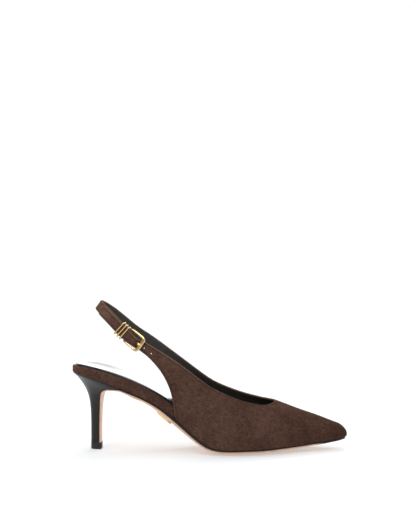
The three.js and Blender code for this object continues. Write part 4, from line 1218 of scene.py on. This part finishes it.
def moved_in(outer, inner, inset):
    """Both halves of an outline moved in evenly."""
    loop = np.concatenate([outer, inner[::-1]])
    along = unit(np.roll(loop, -1, 0) - np.roll(loop, 1, 0))
    inward = np.stack([-along[:, 1], along[:, 0]], -1)
    moved = loop + inward * inset
    return moved[:len(outer)], moved[len(outer):][::-1]


def footbed_rings(outer, inner, levels, under=()):
    """Points and faces round the footbed, and its last halves; a level has an inset and a lift."""
    rings = []
    for inset, lift in [*under, *levels]:
        left, right = moved_in(outer, inner, inset)
        loop = np.concatenate([left, right[::-1]])
        surface = profile if len(rings) < len(under) else footbed_top
        rings.append(np.concatenate([loop, surface(loop[:, :1]) + lift], 1))
    points, faces = loft(rings, caps=False)
    return points, [face[::-1] for face in faces], left, right


cover_under = [(1.2, -0.27), (0, -0.22)]
cover_over = [(0, -1.5), (0.08, -0.95), (0.3, -0.45), (0.7, -0.12), (1.15, 0), (1.6, -0.12), (1.85, -0.5),
              (1.9, -1.1)]
sock_levels = [(1.5, -1), (1.52, -0.3), (1.62, -0.1)]
# How far from the sock's edge its padding reaches each height
padding_reach = [0, 0.25, 0.7, 1.4, 2.4, 3.8, 5.6]
padding_height = [-0.1, 0.15, 0.5, 0.95, 1.35, 1.55, 1.6]
FLAT_FROM = 2.2
FLAT_FADE = 2.4
# The hollow under the heel: its depth, its middle, its reach to each side, and how far it fades
HOLLOW = 0.8
HOLLOW_AT = 4
HOLLOW_REACH = 30
HOLLOW_FADE = 26


def footbed_pieces():
    outer, inner = footbed_outline()
    cover = footbed_rings(outer, inner, cover_over, cover_under)
    make_piece("footbed_cover", *cover[:2], suede, "suede", ["footbed"])
    points, faces, left, right = footbed_rings(outer[2:-2], inner[2:-2], sock_levels)
    across = (1 - np.cos(np.linspace(0, PI, 61))) / 2
    field = mix(left[:, None], right[:, None], across[None, :, None])
    loop = np.concatenate([left, right[::-1], left[:1]])
    from_edge = distance_to(field @ np.eye(2, 3), [loop @ np.eye(2, 3)])
    padding = np.interp(from_edge, padding_reach, padding_height)
    ahead = abs(field[..., 0] - HOLLOW_AT)
    hollow = HOLLOW * np.sin(across * PI) ** 2 * ease((HOLLOW_REACH - ahead) / HOLLOW_FADE)
    height = footbed_top(field[..., 0]) + padding - hollow
    field = np.concatenate([field, height[..., None]], -1)
    flat = np.concatenate([np.zeros(len(points)), ease((from_edge.reshape(-1) - FLAT_FROM) / FLAT_FADE)])
    field = (field.reshape(-1, 3), grid_faces(*field.shape[:2], flipped=True))
    make_piece("sock_sheet", *merged([(points, faces), field]), sock_black, "black_leather",
               ["sock_lining"], tone=flat)


footbed_pieces()

# The heel from its stem to the seat, as in the part
heel_table = columns(["back", "front", "back_rise", "front_rise", "wide"], [
    (0, 0, 0, 0.088, 0.113, 0), (0.14, 0, 0, 0.24, 0.3, 0), (0.3, 0.012, 0.01, 0.427, 0.52, 0.018),
    (0.44, 0.06, 0.032, 0.583, 0.705, 0.085), (0.56, 0.17, 0.068, 0.704, 0.845, 0.225),
    (0.67, 0.35, 0.155, 0.8, 0.937, 0.44), (0.78, 0.57, 0.36, 0.88, 0.988, 0.67),
    (0.9, 0.8, 0.66, 0.95, 1.003, 0.875), (1, 0.965, 1, 0.985, 1, 0.985),
], 1)
SEAT_EDGE = SEAT_REACH - SOLE_INSET
WING_UNDER = profile(WING_REACH) - GAP - EDGE_STEP


def breast_point(at):
    return np.array([mix(STEM_FRONT, WING_REACH, heel_table["front"](at)),
                     WING_UNDER * heel_table["front_rise"](at)])


def heel_half(side, at):
    wing = abs(plan_half(side, WING_REACH, SOLE_INSET)[1])
    return mix(STEM_HALF, wing, heel_table["wide"](at))


def heel_ring(at, sides=40):
    back_x = -mix(STEM_BACK, SEAT_EDGE, heel_table["back"](at))
    back_z = heel_table["back_rise"](at) * (profile(-SEAT_EDGE) - GAP)
    front_x, front_z = breast_point(at)
    seat_like = ease((at - 0.72) / 0.28)

    def arc(side, angle):
        deep = np.sin(angle) ** (2 / STEM_ROUND)
        half = heel_half(side, at)
        seat_x = mix(WING_REACH, -SEAT_EDGE, deep)
        line = abs(sole_line(side, seat_x)) * round_off(seat_x + SEAT_REACH, SEAT_ROUND)
        seat = line * half / abs(sole_line(side, WING_REACH))
        wide = mix(half * np.cos(angle) ** (2 / STEM_ROUND), seat, seat_like)
        bow = profile(seat_x) - profile(WING_REACH) - deep * (profile(-SEAT_EDGE) - profile(WING_REACH))
        return np.stack([mix(front_x, back_x, deep), SIDES[side] * wide,
                         mix(front_z, back_z, deep) + bow * seat_like], -1)

    angle = np.linspace(0, PI / 2, sides + 1)
    angle[-1] -= 1e-7
    return np.concatenate([arc("outer", angle), arc("inner", angle[-2::-1])])


def heel_pieces():
    rings = [heel_ring(at) for at in np.linspace(0, 1, 90)]
    base = rings[0].copy()
    base[:, 2] = TIP_HEIGHT + 0.05
    rings = [base, rings[0] * (1, 1, 0) + (0, 0, TIP_HEIGHT + 0.9)] + rings[1:]
    top = rings[-1].copy()
    top[:, 2] = profile(top[:, 0]) - 0.1
    solid_piece("heel_cover", rings + [top], lacquer, "heel_cover", ["heel"])
    base = heel_ring(0) * (1, 1, 0)
    base[:, 0] *= np.where(base[:, 0] > 0, (STEM_FRONT + GAP + FLAP_THICKNESS) / STEM_FRONT, 1)
    levels = [(0, 0.9), (0.02, 1.0), (0.35, 1.02), (TIP_HEIGHT - 0.5, 1.01), (TIP_HEIGHT - 0.1, 1.0),
              (TIP_HEIGHT, 0.95)]
    tip = [base * (spread, spread, 1) + (0, 0, z) for z, spread in levels]
    solid_piece("top_piece", tip, rubber, "top_piece", ["heel_tip"])


heel_pieces()

# The outsole: bare leather with the breast flap, under a painted edge that is set in from it
sole_table = columns(["thick", "step", "crown"], [
    (0.1, 0.62, 0.92, 0.6), (0.22, 1.06, 0.88, 0.9), (0.3, 1.28, 1.15, 1), (0.4, 1.08, 1.45, 0.8),
    (0.46, 1.04, 1.25, 0.78), (0.5, 1.04, 1, 0.76), (0.66, 1.03, 1, 0.74), (0.76, 0.8, 0.8, 0.5),
    (0.85, 0.56, 0.66, 0.24), (0.93, 0.4, 0.72, 0.14), (1, 0.24, 0.8, 0.06),
])
TREAD_SHARE = 0.55
WAIST_CROWN = 2.9
SOLE_START = WING_REACH + 2
SOLE_END = TOE_REACH - 2.2
EDGE_END = TOE_REACH - 1.4
TIP_BLUNT = 0.35
THICKEN_LENGTH = 14
CROWN_LENGTH = 30
FLAP_INSET = 0.15


def leather_thick(x):
    return mix(FLAP_THICKNESS, SOLE_LEATHER * sole_table["thick"](x),
               ease((x - SOLE_START) / THICKEN_LENGTH))


def edge_deep(x):
    """How far the painted edge comes down under the sole line."""
    return EDGE_STEP * sole_table["step"](x) * np.hypot(1, slope_of(profile, x))


def sole_halves(x, inset, end):
    """The sole's middle line at x, and how far out its edge is to each side."""
    middle = plan["swing"](x) * TOE_SWING
    rounded = round_off(end + TIP_BLUNT - x, TOE_ROUND)
    return middle, {side: abs(plan_half(side, x, inset)[1] - middle) * rounded for side in SIDES}


# A section of the sole: shares of its half width below, the rounding of its corners, and its flat top
tread_share = np.concatenate([[-1, -0.992, -0.975], np.linspace(-0.95, 0.95, 25), [0.975, 0.992, 1]])
tread_corner = np.array([0.45, 0.16, 0.04])
sole_above = [(-1, 0.3), (-0.997, 0.1), (-0.985, 0), (-0.5, 0), (0, 0), (0.5, 0), (0.985, 0),
              (0.997, 0.1), (1, 0.3)]


def sole_ring(inner, down, halves, thick, crown, middle):
    """One section of the bare leather: flat above, crowned below, with softened edges."""
    edge = thick - min(crown, thick * 0.7)
    fall = np.clip((abs(tread_share) - TREAD_SHARE) / (1 - TREAD_SHARE), 0, 1)
    depth = mix(thick, edge, fall ** 1.25)
    depth[:3] -= tread_corner * min(1, edge)
    depth[-3:] -= tread_corner[::-1] * min(1, edge)
    ring = []
    for share, deep in sole_above + list(zip(tread_share[::-1], depth[::-1])):
        reach = middle + halves["outer" if share < 0 else "inner"] * share
        ring.append((inner[0] + down[0] * deep, reach, max(0.0, inner[1] + down[1] * deep)))
    return ring


def sole_leather():
    rings = []
    for at in np.linspace(0, 1, 60):
        along = unit(breast_point(min(1, at + 0.01)) - breast_point(max(0, at - 0.01)))
        down = np.array([along[1], -along[0]])
        inner = breast_point(at) + down * 0.05
        if at == 0:
            inner[1] = TIP_HEIGHT + GAP
        halves = {side: heel_half(side, at) - FLAP_INSET for side in SIDES}
        rings.append(sole_ring(inner, down, halves, FLAP_THICKNESS, 0, 0))
    for x in sole_stations(SOLE_START, SOLE_END, 130, 1):
        down = unit(np.array([slope_of(profile, x), -1]))
        inner = np.array([x, profile(x) - GAP - edge_deep(x)])
        crown = WAIST_CROWN * sole_table["crown"](x) * ease((x - SOLE_START) / CROWN_LENGTH)
        middle, halves = sole_halves(x, SOLE_INSET, SOLE_END)
        rings.append(sole_ring(inner, down, halves, leather_thick(x), crown, middle))
    solid_piece("sole_leather", rings, sole_tan, "sole_leather", ["outsole"])


# The painted edge's section: side, how much further in, and how far down as a share of its depth
EDGE_TOP = 0.12
EDGE_OVERLAP = 0.1
edge_section = [(-1, -0.2, 0.2), (-1, -0.4, 0.5), (-1, -0.35, 0.85), (-1, -0.1, 1.03), (0, 0, 1),
                (1, -0.1, 1.03), (1, -0.35, 0.85), (1, -0.4, 0.5), (1, -0.2, 0.2), (1, 0.1, 0), (0, 0, 0),
                (-1, 0.1, 0)]


def painted_edge():
    rings = []
    for x in sole_stations(WING_REACH + GAP, EDGE_END, 130, 1):
        top = profile(x) - EDGE_TOP
        deep = edge_deep(x) + EDGE_OVERLAP + GAP - EDGE_TOP
        ring = []
        for share, inset, down in edge_section:
            middle, halves = sole_halves(x, SOLE_INSET + EDGE_INSET + inset, EDGE_END)
            reach = middle + halves["outer" if share < 0 else "inner"] * share
            ring.append((x, reach, top - down * deep))
        rings.append(ring)
    solid_piece("sole_edge_paint", rings, painted, "heel_cover")


sole_leather()
painted_edge()

# The plain oval plate under the waist: how deep it is at each share of its outline
plate_levels = [(-0.3, 0.98), (0.5, 1), (1.8, 1), (2.2, 0.97), (2.5, 0.9), (2.75, 0.75), (2.95, 0.5),
                (3.05, 0.25), (3.1, 0.02)]
PLATE_NEARER = 1


def waist_plate():
    low, high = (np.array(corner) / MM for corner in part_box("waist_badge"))
    centre = (low + high) / 2
    half = (high - low) / 2
    rings = []
    for depth, share in plate_levels:
        x = centre[0] + share * half[0] * np.cos(circle(64))
        y = centre[1] - PLATE_NEARER + share * half[1] * np.sin(circle(64))
        under = profile(x) - GAP - edge_deep(x) - leather_thick(x) * np.hypot(1, slope_of(profile, x))
        rings.append(np.stack([x, y, under - depth], -1))
    solid_piece("waist_plate", rings, gold, "gold_metal", ["waist_badge"])


waist_plate()

# Camera, floor and light
AIM_X = 0.103
CAMERA_AWAY = 0.9
CAMERA_HEIGHT = 0.1725
CAMERA_TURN = math.radians(2.5)
scene = bpy.context.scene


def staged(name, data, place=(0, 0, 0), turned=(0, 0, 0)):
    """An object of the studio, put into the scene."""
    made = bpy.data.objects.new(name, data)
    made.location = place
    made.rotation_euler = turned
    scene.collection.objects.link(made)
    return made


camera_data = bpy.data.cameras.new("photo_camera")
camera_data.sensor_width = 36
camera_data.lens = 67.66
scene.camera = staged("photo_camera", camera_data, (
    AIM_X + CAMERA_AWAY * math.sin(CAMERA_TURN), -CAMERA_AWAY * math.cos(CAMERA_TURN), CAMERA_HEIGHT,
), (PI / 2, 0, CAMERA_TURN))

floor_finish = Finish("floor_white", 0.6, specular=0.2)
floor_finish.mottle(floor_finish.noise(3, 2), (0.61, 0.63, 0.64, 1), (0.63, 0.65, 0.66, 1), 0, 1)
floor_finish.feed("Emission Color", (0.98, 0.99, 1, 1))
floor_finish.feed("Emission Strength", 0.34)
floor_mesh = bpy.data.meshes.new("floor")
floor_mesh.from_pydata([(-30, -30, 0), (30, -30, 0), (30, 30, 0), (-30, 30, 0)], [], [(0, 1, 2, 3)])
floor_mesh.materials.append(floor_finish.material)
floor = staged("floor", floor_mesh)

# The studio: a bright sweep behind the shoe, a soft box overhead and a dark room behind the camera
SKY = 1.8


def greys(*stops):
    return [(position, (grey, grey, grey, 1)) for position, grey in stops]


scene.world = bpy.data.worlds.new("studio")
studio = Nodes(scene.world, "Background", "Generated")
up = studio.axis("Z")
behind = studio.ramp(up, greys((0, 1), (0.2, 0.95), (0.33, 0.22), (0.7, 0.16), (0.8, 1), (1, 1)))
ahead = studio.ramp(up, greys((0, 0.2), (0.62, 0.22), (0.8, 1), (1, 1)))
studio.feed("Color", studio.blend(studio.span(studio.axis("Y"), -0.25, 0.45), ahead, behind))
studio.feed("Strength", SKY)


def soft_light(name, place, aim, width, power):
    data = bpy.data.lights.new(name, "AREA")
    data.shape = "SQUARE"
    data.size = width
    data.energy = power
    staged(name, data, place, (Vector(aim) - Vector(place)).to_track_quat("-Z", "Y").to_euler())


soft_light("key", (-0.45, -0.8, 0.75), (0.05, 0, 0.08), 0.3, 1.6)
soft_light("back", (0.25, 0.7, 0.9), (0.1, 0, 0.05), 0.4, 2.5)
scene.view_settings.view_transform = "Standard"
scene.view_settings.look = "None"
